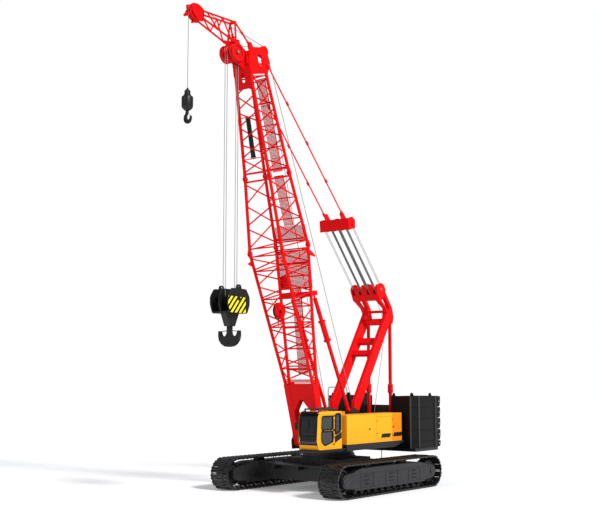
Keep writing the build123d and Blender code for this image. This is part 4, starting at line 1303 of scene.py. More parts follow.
@dataclass
class Reeving:
    """All sheaves, drums and ropes."""

    shop: Workshop
    rope_r: float = 14.0
    luff_r: float = 12.0
    hoist_drum: tuple[float, float, float, float] = (150.0, 2900.0, 330.0, 470.0)
    aux_drum: tuple[float, float, float, float] = (-2050.0, 2850.0, 300.0, 430.0)
    luff_drum: tuple[float, float, float, float] = (-3050.0, 2850.0, 300.0, 430.0)
    drum_half: float = 460.0
    nest: tuple[float, float] = (HOOK_X, 19951.9)
    deflector: tuple[float, float] = (5153.8, 20577.0)
    tip: tuple[float, float] = TIP_PIN
    gantry: tuple[float, float] = GANTRY_PIN
    bail: tuple[float, float] = BAIL_PIN
    block_z: float = BLOCK_Z
    ball_top: float = 17690.0
    fall_y: float = FALL_Y
    fall_r: float = 374.3
    line_y: float = 80.0
    deflector_groove: float = 215.0
    tip_groove: float = 325.0
    luff_groove: float = 250.0
    sides: int = 10
    outer_pack: tuple[float, ...] = (-40.0, 40.0)
    inner_pack: tuple[float, ...] = (-60.0, -30.0, 0.0, 30.0, 60.0)

    def luff_places(self) -> list[float]:
        """Finds where the luffing ropes and their sheaves lie, pack by pack.

        Returns:
            Y of each.
        """
        packs = ((-660.0, self.outer_pack), (-240.0, self.inner_pack))
        packs += ((240.0, self.inner_pack), (660.0, self.outer_pack))
        return [pack + dy for pack, offsets in packs for dy in offsets]

    def build_sheaves(self) -> None:
        """Makes every sheave set as turned castings."""
        f = self.fall_y
        nest = ((-297.5, 100.0), (-f, 65.0), (f, 65.0), (297.5, 100.0))
        rear = ((-80.0, 76.0), (80.0, 76.0))
        tips = tuple((y, 42.0) for y in (-86.7, 0.0, 86.7))
        low, out = self.deflector_groove, self.tip_groove
        sets = (
            SheaveSet("head_sheave_set", "head_sheaves", self.nest, nest, 420, 360, 60),
            SheaveSet("deflector_set", "deflector_sheave", self.deflector, rear, 260, low, 45),
            SheaveSet("tip_sheave_set", "tip_sheave", self.tip, tips, 365, out, 45),
        )
        for item in sets:
            form = Form()
            x, z = item.centre
            for y, half in item.places:
                line = sheave_line(item.rim, item.groove, half, item.bore)
                form.add(turned(line, (x, y, z), ACROSS, 56))
            self.shop.piece(item.name, form, SHEAVE_PAINT, item.body, "sheave_steel", (item.body,))
        line = [(-14, 75), (-14, 130), (-8, 135), (-8, 205), (-14, 212), (-14, 266), (-10, 268), (-4, 252)]
        rows = (("gantry_sheaves", self.gantry, "upper"), ("bail_sheaves", self.bail, "boom"))
        for name, (x, z), body in rows:
            form = Form()
            for y in self.luff_places():
                form.add(turned(mirrored(line), (x, y, z), ACROSS, 40))
            self.shop.piece(name, form, SHEAVE_PAINT, body, "sheave_steel")

    def build_drums(self) -> None:
        """Makes the three drums: flanges with stiffening rings, and closely wound rope."""
        drums = {"hoist_drum": self.hoist_drum, "aux_drum": self.aux_drum, "luffing_drum": self.luff_drum}
        h, span, sides = self.drum_half, self.drum_half - 42, 48
        for name, (x, z, r, flange) in drums.items():
            half = [(-h - 45, 0.1), (-h - 45, 60), (-h, 60), (-h, 150), (-h + 8, 160), (-h + 8, flange - 40)]
            half += [(-h, flange - 30), (-h, flange - 4), (-h + 4, flange), (-h + 36, flange)]
            half += [(-h + 40, flange - 4), (-h + 40, r)]
            form = Form().add(turned(mirrored(half), (x, 0, z), ACROSS, 56))
            self.shop.piece(f"{name}_shell", form, SHEAVE_PAINT, name, "sheave_steel", (name,))
            pitch = 2 * self.rope_r
            y = np.linspace(-span, span, 8 * int(span * 2 / pitch) + 1)
            phase = ((y + span) / pitch) % 1.0 - 0.5
            bulge = r + 12 + 16 * np.sqrt(np.clip(1 - (2 * phase) ** 2, 0, 1))
            wound = turned(np.stack([y, bulge], -1), (x, 0, z), ACROSS, sides)
            item = self.shop.piece(f"{name}_rope", Form().add(wound), ROPE_STEEL, name, "wire_rope")
            around = np.arange(len(wound[0])) % sides / sides * 10 * STRANDS
            rope_map(item.data, around, np.repeat(y / pitch, sides) * STRANDS)

    def bent(self, name: str, path: Points, body: str, radius: float) -> None:
        """Lays a rope along a bent path on one body.

        Args:
            name: the piece's name.
            path: rows of points in mm.
            body: the body that it rides on.
            radius: the rope's radius in mm.
        """
        sides = self.sides
        form = Form().add(pipe(path, radius, sides, ACROSS))
        item = self.shop.piece(name, form, ROPE_STEEL, body, "wire_rope")
        run = np.r_[0.0, np.cumsum(np.linalg.norm(np.diff(path, axis=0), axis=1))]
        around = np.tile(np.arange(sides), len(path)) / sides * STRANDS
        rope_map(item.data, around, np.repeat(run / 15.0, sides))

    def build_luffing(self) -> None:
        """Makes the luffing ropes between gantry and bail, and their lead from the drum."""
        (bx, bz), (gx, gz) = self.bail, self.gantry
        run = math.hypot(bx - gx, bz - gz)
        over = self.luff_groove + self.luff_r + FIT
        px, pz = -(bz - gz) * over / run, (bx - gx) * over / run
        places = [(k, y) for y in self.luff_places() for k in (-1, 1)]
        low = np.array([(gx + k * px, y, gz + k * pz) for k, y in places])
        high = np.array([(bx + k * px, y, bz + k * pz) for k, y in places])
        nodes = ("luffing_ropes",)
        self.shop.rope("luffing_falls", low, high, self.luff_r, ("upper", "boom"), instead_of=nodes)
        x, z = self.luff_drum[0] - self.luff_drum[2] - 28, self.luff_drum[1]
        lead = np.array([(x, 300, z), (-4680, 300, 8000), (-3800, 240, 9690)])
        self.bent("luffing_rope_lead", rounded(lead, 53, 6), "upper", self.luff_r)
        guide = Form().add(turned(sheave_line(155, 130, 26, 30), (-4530, 300, 7986), ACROSS, 32))
        for y in (262, 322):
            guide.add(plate_xz(strip((-4490, 8760), (-4530, 7950), 45), y, y + 16))
        self.shop.piece("luffing_lead_sheave", guide, BOOM_PAINT, "upper", "sheave_steel")

    def build_hoisting(self) -> None:
        """Makes both hoist lines, the falls of the main hook and the second line."""
        r, off = self.rope_r, self.fall_r
        falls = [(self.nest[0] + k, y) for k in (-off, off) for y in (-self.fall_y, self.fall_y)]
        high = np.array([(x, y, self.nest[1]) for x, y in falls])
        low = np.array([(x, y, self.block_z) for x, y in falls])
        self.shop.rope("hook_falls", high, low, r, ("main_falls", "hook_block"), instead_of=("main_falls",))
        over, out = self.deflector_groove + r + FIT, self.tip_groove + r + FIT
        x = self.tip[0] + self.tip_groove + r + FIT
        high, low = np.array([(x, 0, self.tip[1])]), np.array([(x, 0, self.ball_top)])
        self.shop.rope("second_line", high, low, r, ("aux_rope", "aux_ball"), instead_of=("aux_rope",))
        lines = (
            ("hoist_line_at_head", self.hoist_drum, -self.line_y, self.nest, off, -self.fall_y),
            ("second_line_at_head", self.aux_drum, self.line_y, self.tip, out, 0.0),
        )
        starts, ends = [], []
        for name, drum, y, goal, goal_r, goal_y in lines:
            a, b = tangent(drum[:2], drum[2] + r + FIT, self.deflector, over, 1)
            starts.append((a[0], y, a[1]))
            ends.append((b[0], y, b[1]))
            c, d = tangent(self.deflector, over, goal, goal_r, 1)
            front = (goal[0] + goal_r, goal[1])
            path = np.concatenate([arc(self.deflector, b, c, y), arc(goal, d, front, goal_y)])
            self.bent(name, path, "boom", r)
        low, high = np.array(starts), np.array(ends)
        self.shop.rope("hoist_lines_up", low, high, r, ("upper", "boom"), instead_of=("hoist_lines",))
        x, z = self.nest[0], self.block_z
        turns = Form()
        for y in (-self.fall_y, self.fall_y):
            first = arc((x, z), (x - off, z), (x, z - off), y)
            last = arc((x, z), (x, z - off), (x + off, z), y)
            turns.add(pipe(np.concatenate([first, last[1:]]), r, self.sides, ACROSS))
        item = self.shop.piece("block_rope_turns", turns, ROPE_STEEL, "hook_block", "wire_rope")
        step, turn = np.divmod(np.arange(turns.count), self.sides)
        rope_map(item.data, turn / self.sides * STRANDS, step * 2.5)

    def build(self) -> None:
        """Builds sheaves, drums and ropes."""
        self.build_sheaves()
        self.build_drums()
        self.build_luffing()
        self.build_hoisting()


# ---- undercarriage ----


@dataclass
class Undercarriage:
    """Carbody, both side frames, wheels, rollers and the two tracks of linked shoes."""

    shop: Workshop
    track_y: float = 3200.0
    height: float = 1530.0
    wheel_x: float = 3665.0
    thick: float = 150.0
    shoes: int = 60
    pin_out: float = 86.0
    pin_half: float = 535.0
    frame_half: float = 450.0
    axle_r: float = 118.0
    roller_z: float = 280.3

    @property
    def path_r(self) -> float:
        """Radius of the chain's path round a wheel."""
        return self.height / 2 - self.thick

    @property
    def pitch(self) -> float:
        """Length of one shoe along the path."""
        return 2 * (2 * self.wheel_x + math.pi * self.path_r) / self.shoes

    def on_path(self, t: Points, out: Points) -> Points:
        """Gives X and Z at length t along the track's path, moved outwards by out.

        The path is two straight runs joined by two half circles about the wheels.

        Args:
            t: lengths along the path in mm.
            out: distances outwards in mm.

        Returns:
            Rows of X and Z.
        """
        r, flat = self.path_r, 2 * self.wheel_x
        bend, mid = math.pi * r, self.height / 2
        t = np.mod(t, 2 * (flat + bend))
        front = t < flat + bend
        a = np.where(front, -math.pi / 2 + (t - flat) / r, math.pi / 2 + (t - 2 * flat - bend) / r)
        turning = ((t >= flat) & front) | (t >= 2 * flat + bend)
        cx = np.where(front, self.wheel_x, -self.wheel_x)
        straight_x = np.where(t < flat, -self.wheel_x + t, self.wheel_x - (t - flat - bend))
        straight_z = np.where(t < flat, self.thick - out, self.height - self.thick + out)
        x = np.where(turning, cx + (r + out) * np.cos(a), straight_x)
        z = np.where(turning, mid + (r + out) * np.sin(a), straight_z)
        return np.stack([x, z], -1)

    def along_path(self, outline: XZ, y0: float, y1: float) -> Surface:
        """Repeats a plate, given as (length, out) outline, at every shoe.

        Args:
            outline: corners as part of the pitch and mm outwards.
            y0: one side.
            y1: the other side.

        Returns:
            One surface with all of them.
        """
        p, faces = prism(outline)
        t = (np.arange(self.shoes)[:, None] + p[None, :, 0]) * self.pitch
        xz = self.on_path(t, np.broadcast_to(p[:, 1], t.shape))
        y = np.broadcast_to(y0 + (y1 - y0) * p[:, 2], t.shape)
        points = np.stack([xz[..., 0], y, xz[..., 1]], -1).reshape(-1, 3)
        step = len(p) * np.arange(self.shoes)[:, None, None]
        return points, [(f[None] + step).reshape(-1, f.shape[1]) for f in faces]

    def build_tracks(self) -> None:
        """Makes the shoes: plate with pockets, hinge knuckles, guide horns and pins."""
        plate = [(0.06, 62), (0.94, 62), (0.955, 96), (0.93, 112), (0.8, 112), (0.76, 150), (0.62, 150)]
        plate += [(0.58, 112), (0.42, 112), (0.38, 150), (0.24, 150), (0.2, 112), (0.07, 112), (0.045, 96)]
        web = [(0.10, 62), (0.90, 62), (0.86, 118), (0.14, 118)]
        rib = [(0.42, 118), (0.58, 118), (0.56, 146), (0.44, 146)]
        knuckle = [(-0.06, 70), (0.0, 40), (0.06, 70), (0.06, 105), (-0.06, 105)]
        horn = [(0.36, 62), (0.64, 62), (0.56, 2), (0.44, 2)]
        rows = [(plate, a, b) for a, b in ((-550, -470), (-200, 200), (470, 550))]
        rows += [(line, a, b) for a, b in ((-470, -200), (200, 470)) for line in (web, rib)]
        rows += [(knuckle, a, b) for a, b in ((-440, -340), (-60, 60), (340, 440))]
        rows += [(horn, a, b) for a, b in ((-205, -150), (150, 205))]
        for side, word in SIDES:
            name, y = f"track_{word}", side * self.track_y
            shoes = Form().add(*(self.along_path(line, y + a, y + b) for line, a, b in rows))
            nodes = (name,)
            item = self.shop.piece(
                f"{name}_shoes", shoes, SHOE_STEEL, "undercarriage", "track_black", nodes, bevel=4
            )
            item.modifiers["edge"].segments = 1
            xz = self.on_path(np.arange(self.shoes) * self.pitch, np.full(self.shoes, self.pin_out))
            lows = np.stack([xz[:, 0], np.full(self.shoes, y - self.pin_half), xz[:, 1]], -1)
            pins = Form().add(tubes(lows, lows + (0.0, 2 * self.pin_half, 0.0), 24.0, 10))
            self.shop.piece(f"{name}_pins", pins, SHOE_STEEL, "undercarriage", "track_black")

    def axle(self, centre: Sequence[float]) -> Surface:
        """Makes the axle of a wheel, which ends inside the side frame's caps.

        Args:
            centre: the wheel's centre in mm.

        Returns:
            The axle.
        """
        x, y, z = centre
        half = self.frame_half - 10
        return bar((x, y - half, z), (x, y + half, z), self.axle_r, 32)

    def build_wheels(self) -> None:
        """Makes the idlers and the toothed sprockets with their axles."""
        dish = [(-240, 120), (-240, 200), (-170, 215), (-150, 440), (-235, 462), (-240, 534), (-104, 534)]
        dish += [(-98, 592)]
        drum = [(-240, 119), (-240, 500), (-225, 534)]
        mid, teeth = self.height / 2, 18
        a = np.repeat(np.arange(teeth), 4) * math.tau / teeth + np.tile([0.0, 0.09, 0.16, 0.25], teeth)
        r = np.tile([525.0, 590.0, 590.0, 525.0], teeth)
        gear = np.stack([-self.wheel_x + r * np.cos(a), mid + r * np.sin(a)], -1)
        bore = circle(-self.wheel_x, mid, self.axle_r, 32)
        wheels, sprockets = Form(), Form()
        for side in (-1, 1):
            y = side * self.track_y
            front, rear = (self.wheel_x, y, mid), (-self.wheel_x, y, mid)
            wheels.add(turned(mirrored(dish), front, ACROSS, 60), self.axle(front))
            sprockets.add(plate_xz(gear, y - 95, y + 95, (bore,)))
            sprockets.add(turned(mirrored(drum), rear, ACROSS, 60), self.axle(rear))
        for form, node, name in ((wheels, "idlers", "idler"), (sprockets, "sprockets", "sprocket")):
            nodes = (node,)
            self.shop.piece(
                f"{name}_wheels", form, CHASSIS_PAINT, "undercarriage", "undercarriage_grey", nodes
            )

    def build_frames(self) -> None:
        """Makes the side frames' fittings: caps, ribs, steps, roller hubs, drives and bolts."""
        caps, ribs, bolts = Form(), Form(), Form()
        out = self.track_y + self.frame_half
        x = np.arange(-2700, 2701, 540)
        for side in (-1, 1):
            y = side * out
            for wx in (-self.wheel_x, self.wheel_x):
                line = [(0, 190), (22, 190), (30, 180), (30, 130), (44, 120), (44, 0.1)]
                caps.add(turned(line, (wx, y, self.height / 2), (0, side, 0), 40))
                at = np.insert(circle(wx, self.height / 2, 158, 8), 1, y + side * 28, 1)
                bolts.add(tubes(at, at + (0, side * 16, 0), 13.0, 6))
            for x0, x1, z0, z1 in ((-3400, 3400, 1010, 1030), (-2950, 2950, 415, 433)):
                ribs.add(boxes([(x0, y, z0)], [(x1, y + side * 14, z1)]))
            px = np.array([-2500.0, -1500.0, -500.0, 500.0, 1500.0, 2500.0])
            low = np.stack([px - 12, np.full(6, y), np.full(6, 433.0)], -1)
            ribs.add(boxes(low, low + (24.0, side * 14.0, 577.0)))
            sx = np.array([-2000.0, 0.0, 2000.0])
            step_low = np.stack([sx - 190, np.full(3, y), np.full(3, 560.0)], -1)
            for dz in (0.0, 170.0, 340.0):
                ribs.add(boxes(step_low + (0, 0, dz), step_low + (380.0, side * 60.0, dz + 22.0)))
            for way in (side, -side):
                yy = side * self.track_y + way * 250
                hub = np.stack([x, np.full(len(x), yy), np.full(len(x), self.roller_z)], -1)
                caps.add(tubes(hub, hub + (0, way * 24, 0), 70.0, 20))
            inner = side * (self.track_y - self.frame_half)
            drive = [(0, 330), (60, 330), (75, 300), (180, 290), (190, 210), (330, 200), (345, 180)]
            drive += [(345, 0.1)]
            caps.add(turned(drive, (-self.wheel_x, inner, self.height / 2), (0, -side, 0), 40))
            top = [(-2700, 1180), (2700, 1180), (2450, 1292), (-2450, 1292)]
            for yy in (side * (self.track_y - 400), side * (self.track_y + 385)):
                ribs.add(plate_xz(top, yy, yy + side * 16))
        for name, form in (("axle_caps_and_drives", caps), ("side_frame_ribs", ribs)):
            self.shop.piece(name, form, CHASSIS_PAINT, "undercarriage", "undercarriage_grey", bevel=3)
        self.shop.piece("axle_cap_bolts", bolts, PIN_STEEL, "undercarriage")

    def build_carbody(self) -> None:
        """Makes the ring gear, its bolts, the gussets and ribs, and the rail at each end."""
        step = [(1500, 1330), (1560, 1330), (1560, 1262), (1668, 1262), (1668, 1240), (1500, 1240)]
        ring = Form().add(turned(step, (0, 0, 0), UP, 96))
        foot = np.insert(circle(0, 0, 1296, 72), 2, 1560.0, 1)
        ring.add(tubes(foot, foot + (0, 0, 26), 15.0, 6))
        self.shop.piece("slewing_ring_gear", ring, CHASSIS_PAINT, "undercarriage", "undercarriage_grey")
        trim = Form()
        for sx in (-1, 1):
            for sy in (-1, 1):
                gusset = [(sx * 1400, 500), (sx * 1400, 1050), (sx * 1250, 900), (sx * 1250, 500)]
                trim.add(plate_xz(gusset, sy * 1700, sy * 1725))
                for y in (2050.0, 2400.0):
                    trim.add(boxes([(sx * 2050, sy * y, 520)], [(sx * 2066, sy * (y + 20), 1230)]))
                trim.add(bar((sx * 2500, sy * 1440, 1250), (sx * 2500, sy * 1440, 1750), 20.0, 10))
            trim.add(bar((sx * 2500, -1440, 1740), (sx * 2500, 1440, 1740), 20.0, 10))
        self.shop.piece("carbody_rails_and_ribs", trim, CHASSIS_PAINT, "undercarriage", "undercarriage_grey")

    def build(self) -> None:
        """Builds the undercarriage and dresses the CAD nodes that stay."""
        self.shop.dress(CHASSIS_PAINT, "carbody", "track_frame_left", "track_frame_right")
        self.shop.dress(DECK_GRATE, "undercarriage_steps")
        self.build_tracks()
        self.build_wheels()
        self.build_frames()
        self.build_carbody()


# ---- upper structure ----


@dataclass
class Houses:
    """Both machinery houses with doors and latches, the rear hood, roof box and rails."""

    shop: Workshop
    x0: float = -3340.0
    fronts: tuple[tuple[int, str, float], ...] = ((1, "left", 1540.0), (-1, "right", 100.0))
    y0: float = 1150.0
    y1: float = 2200.0
    z0: float = 2220.0
    z1: float = 3580.0
    wall: float = 40.0
    bend: float = 240.0
    door: tuple[float, float, float, float] = (-2300.0, -900.0, 2380.0, 3440.0)
    seams: tuple[float, ...] = (-190.0, 970.0)

    def plan(self, x1: float) -> tuple[Points, Points]:
        """Gives the rear corner's rounded outline, outside and inside of its wall.

        Args:
            x1: X where the rounded outline ends on the outer side.

        Returns:
            Rows of X and Y, outside from rear to x1, and inside back again.
        """
        a = np.linspace(math.pi, math.pi / 2, 9)
        centre = np.array([self.x0 + self.bend, self.y1 - self.bend])
        ring = np.stack([np.cos(a), np.sin(a)], -1)
        outside = np.concatenate([centre + self.bend * ring, [(x1, self.y1)]])
        inside = np.concatenate([[(x1, self.y1 - self.wall)], centre + (self.bend - self.wall) * ring[::-1]])
        return outside, inside

    def shell(self, side: int, x1: float) -> Form:
        """Makes one house: rounded rear corner, outer wall with its door opening, roof.

        Args:
            side: 1 for the left, -1 for the right.
            x1: its front.

        Returns:
            The form.
        """
        w, y1, z0, z1 = self.wall, self.y1, self.z0, self.z1
        dx0, dx1, dz0, dz1 = self.door
        outside, inside = self.plan(dx0)
        rear = np.concatenate([[(self.x0, self.y0)], outside, inside, [(self.x0 + w, self.y0)]])
        front = [(dx1, y1), (x1, y1), (x1, self.y0), (x1 - w, self.y0), (x1 - w, y1 - w), (dx1, y1 - w)]
        roof = np.concatenate([[(self.x0, self.y0)], outside[:-1], [(x1, y1), (x1, self.y0)]])
        parts = (
            plate_xy(rear, z0, z1 - w),
            plate_xy(front, z0, z1 - w),
            boxes([(dx0, y1 - w, z0), (dx0, y1 - w, dz1)], [(dx1, y1, dz0), (dx1, y1, z1 - w)]),
            boxes([(self.x0 + w, self.y0, z0)], [(x1 - w, self.y0 + w, z1 - w)]),
            plate_xy(roof, z1 - w, z1),
        )
        return Form().add(*((points * (1.0, side, 1.0), faces) for points, faces in parts))

    def build(self) -> None:
        """Builds both houses, their doors' dress, and what stands on them."""
        self.shop.dress(CHASSIS_PAINT, "revolving_deck")
        self.shop.dress(ENGINE_PAINT, "engine_block")
        self.shop.dress(HOUSE_PAINT, "house_door_left", "house_door_right")
        for side, word, x1 in self.fronts:
            shell, name = self.shell(side, x1), f"house_{word}"
            self.shop.piece(f"{name}_shell", shell, HOUSE_PAINT, "upper", "house_yellow", (name,), 6)
            self.build_side(side, word, x1)
        self.build_roof()

    def build_side(self, side: int, word: str, x1: float) -> None:
        """Makes one side's raised panels, door skin, latches, blank plates and deck edge.

        Args:
            side: 1 for the left, -1 for the right.
            word: its word in names.
            x1: the house's front.
        """
        y, (dx0, dx1, dz0, dz1) = side * self.y1, self.door
        skins, door, dark, plate = Form(), Form(), Form(), Form()
        marks = [dx1 + 7, *(s for s in self.seams if s < x1 - 200), x1 - 5]
        self.build_rear_panel(side, word)
        for a, b in zip(marks, marks[1:]):
            outline = square(a + 5, self.z0 + 24, b - 5, self.z1 - 24)
            skins.add(plate_xz(soft(outline, 22), y - side * 2, y + side * 6))
        for a, b in ((dz1 + 12, self.z1 - 24), (self.z0 + 24, dz0 - 12)):
            outline = square(dx0, a, dx1, b)
            skins.add(plate_xz(soft(outline, 18), y - side * 2, y + side * 6))
        frame = square(dx0 + 45, dz0 + 24, dx1 - 24, dz1 - 24)
        door.add(plate_xz(soft(frame, 40), y - side * 2, y + side * 6))
        self.shop.piece(f"house_{word}_panels", skins, HOUSE_PAINT, "upper", "house_yellow", bevel=3)
        node = f"house_door_{word}"
        self.shop.piece(f"{node}_skin", door, HOUSE_PAINT, node, "house_yellow", bevel=3)
        for x, z in ((-330.0, 2870.0), (-2400.0, 2920.0)):
            diamond = [(x - 62, z), (x, z - 62), (x + 62, z), (x, z + 62)]
            dark.add(plate_xz(soft(diamond, 14), y, y + side * 16))
            dark.add(turned([(14, 34), (26, 34), (30, 26), (30, 0.1)], (x, y, z), (0, side, 0), 20))
        slanted = [(-3130, 2440), (-2370, 2440), (-2470, 2640), (-3230, 2640)]
        dark.add(plate_xz(soft(slanted, 60, 5), y + side * 4, y + side * 9))
        self.shop.piece(f"house_{word}_latches_and_blank_plate", dark, RUBBER, "upper")
        slanted = [(-2090, 2425), (-1290, 2425), (-1400, 2615), (-2200, 2615)]
        plate.add(plate_xz(soft(slanted, 60, 5), y + side * 4, y + side * 9))
        for z in (dz0 + 260, dz1 - 200):
            plate.add(turned([(6, 30), (18, 30), (22, 24), (22, 0.1)], (dx1 - 90, y, z), (0, side, 0), 20))
        self.shop.piece(f"{node}_plate_and_latches", plate, RUBBER, node)
        hinges = Form()
        for z in (dz0 + 150, dz1 - 150):
            hinges.add(bar((dx0 - 4, y + side * 10, z - 60), (dx0 - 4, y + side * 10, z + 60), 12.0, 12))
        self.shop.piece(f"house_{word}_door_hinges", hinges, RUBBER, "upper")
        skirt = [(self.x0, 2150), (-2500, 1936), (x1, 1936), (x1, 1960), (-2510, 1960), (self.x0, 2176)]
        edge = Form().add(plate_xz(skirt, y, y + side * 14))
        self.shop.piece(f"deck_edge_{word}", edge, RIDGE_IRON, "upper", "undercarriage_grey")

    def build_rear_panel(self, side: int, word: str) -> None:
        """Makes the deeper orange panel that wraps round one house's rear corner, as painted shade where the
        corner turns from the light.

        Args:
            side: 1 for the left, -1 for the right.
            word: its word in names.
        """
        a = np.linspace(math.pi, math.pi / 2, 9)
        ring = np.stack([np.cos(a), np.sin(a)], -1)
        centre = np.array([self.x0 + self.bend, self.y1 - self.bend])
        edge = np.array([(self.door[0] - 12, self.y1 + 6), (self.door[0] - 12, self.y1 - 2)])
        outer, inner = centre + (self.bend + 6) * ring, centre + (self.bend - 2) * ring[::-1]
        outline = np.concatenate([outer, edge, inner]) * (1.0, side)
        form = Form().add(plate_xy(outline, self.z0 + 24, self.z1 - 24))
        # the panel's deeper orange is painted shade round the rear corner
        self.shop.piece(f"house_{word}_rear_panel", form, CORNER_SHADE_PAINT, "upper", "house_yellow")

    def build_roof(self) -> None:
        """Makes the roof box, both guard rail loops, the exhaust stack and the hood's dress."""
        box = Form()
        base = square(-2300, -2050, -1300, -1400)
        box.add(plate_xy(soft(base, 60, 5), self.z1, 3820))
        nodes = ("roof_box",)
        self.shop.piece("roof_box_shell", box, CHASSIS_PAINT, "upper", "house_yellow", nodes, bevel=14)
        rails = Form()
        top, y, round_r = 4850.0, -1210.0, 190.0
        for x0, x1 in ((-3250.0, -2500.0), (-2350.0, -1600.0)):
            hoop = [(x0, y, self.z1), (x0, y, top), (x1, y, top), (x1, y, self.z1)]
            rails.add(pipe(rounded(hoop, round_r, 8), 20.0, 12, ACROSS))
            rails.add(bar((x0, y, 4215), (x1, y, 4215), 20.0, 12))
            for x in (x0, x1):
                rails.add(bar((x, y, self.z1), (x, y, self.z1 + 14), 46.0, 16))
        self.shop.piece("roof_rail_tubes", rails, RAIL_STEEL, "upper", "", ("roof_rails",))
        hood = Form()
        for z in np.arange(2600.0, 3700.0, 110.0):
            hood.add(boxes([(-4780.0, -900.0, z)], [(-4768.0, 900.0, z + 46)]))
        for y0 in (-1060.0, 1000.0):
            hood.add(boxes([(-4780.0, y0, 2260)], [(-4766.0, y0 + 60, 3860)]))
        rail = [(-5440, 1040, 3900), (-5440, 1040, 4290), (-4840, 1040, 4290), (-4840, 1040, 3900)]
        hood.add(pipe(rounded(rail, 90, 6), 18.0, 12, ACROSS))
        name = "rear_hood_slats_and_rail"
        self.shop.piece(name, hood, CHASSIS_PAINT, "upper", "undercarriage_grey", bevel=3)
        stack = [(0, 70), (90, 70), (96, 92), (190, 92), (200, 60), (235, 60), (235, 0.1)]
        form = Form().add(turned(stack, (-900, -1650, self.z1), UP, 32))
        self.shop.piece("exhaust_stack", form, ENGINE_PAINT, "upper", "engine_grey", bevel=3)


@dataclass
class Counterweight:
    """Two stacks of cast slabs with corner ridges, rounded rear lobes, bolts and lugs."""

    shop: Workshop
    x0: float = -5800.0
    x1: float = -3550.0
    y0: float = 1320.0
    y1: float = 2790.0
    z0: float = 1800.0
    z1: float = 4400.0
    base_slab: float = 340.0
    slabs: int = 4
    lobe: float = 190.0

    def stack(self) -> list[tuple[float, float]]:
        """Gives the lower and upper height of each slab, the base slab first."""
        marks = np.linspace(self.z0 + self.base_slab, self.z1, self.slabs + 1)
        return [(self.z0, self.z0 + self.base_slab), *zip(marks[:-1].tolist(), marks[1:].tolist())]

    def lobe_line(self, low: float, high: float) -> Points:
        """Gives a lobe's outline: a curve out from its foot to its rounded upper edge.

        Args:
            low: the slab's lower height.
            high: its upper height.

        Returns:
            Rows of X and Z.
        """
        z0, z1 = low + 15, high - 15
        foot = np.array([self.x0 - self.lobe * 0.55, z0])
        mid = np.array([self.x0 - self.lobe * 1.12, z0 + (z1 - z0) * 0.3])
        head = np.array([self.x0 - self.lobe, z1 - 40])
        bend = curve(foot, mid, head, 8)
        bend[:, 0] = np.maximum(bend[:, 0], self.x0 - self.lobe)
        tail = [(self.x0 - self.lobe + 30, z1), (self.x0 + 60, z1), (self.x0 + 60, z0)]
        return np.concatenate([bend, tail])

    def build(self) -> None:
        """Builds both stacks."""
        x0, x1, y0, y1 = self.x0, self.x1, self.y0, self.y1
        base = [(x1, y0), (x1, 2490), (-3870, y1), (x0, y1), (x0, y0)]
        core = [(x + (40 if x < -4000 else -40), y + (40 if y < 1500 else -40)) for x, y in base]
        lug = [(-130, self.z1 - 30), (130, self.z1 - 30), (50, self.z1 + 150), (-50, self.z1 + 150)]
        head = [(-2, 52), (10, 52), (16, 44), (16, 26), (24, 26), (24, 0.1)]
        for side, word in SIDES:
            form, ridges, bolts = Form(), Form(), Form()
            flip = np.array([1.0, side, 1.0])
            form.add(plate_xy(np.array(core) * flip[:2], self.z0, self.z1))
            for low, high in self.stack():
                form.add(plate_xy(soft(np.array(base) * flip[:2], 40, 4), low + 8, high - 8))
                form.add(plate_xz(self.lobe_line(low, high), side * (y1 - 300), side * y1))
                at = (x0 - 70, side * y1, (low + high) / 2)
                bolts.add(turned(head, at, (0, side, 0), 20))
            for x, y in ((x1, 2490), (-3870, y1), (-5480, y1)):
                ridges.add(bar((x, side * y, self.z0), (x, side * y, self.z1), 50.0, 16))
            for x, y in ((-3650, 1450), (-3750, 2480), (-5350, 2560), (-5350, 1450)):
                ear = soft(moved(lug, x, 0), 34, 4)
                form.add(plate_xz(ear, side * y - 30, side * y + 30, (circle(x, self.z1 + 78, 30, 20),)))
            name, grey = f"counterweight_{word}", "counterweight_grey"
            self.shop.piece(f"{name}_slabs", form, BALLAST_IRON, "upper", grey, (name,), 7)
            # the ridges' lighter grey is a painted highlight along the slabs' corners
            self.shop.piece(f"{name}_ridges", ridges, RIDGE_IRON, "upper", grey)
            self.shop.piece(f"{name}_bolts", bolts, PIN_STEEL, "upper")


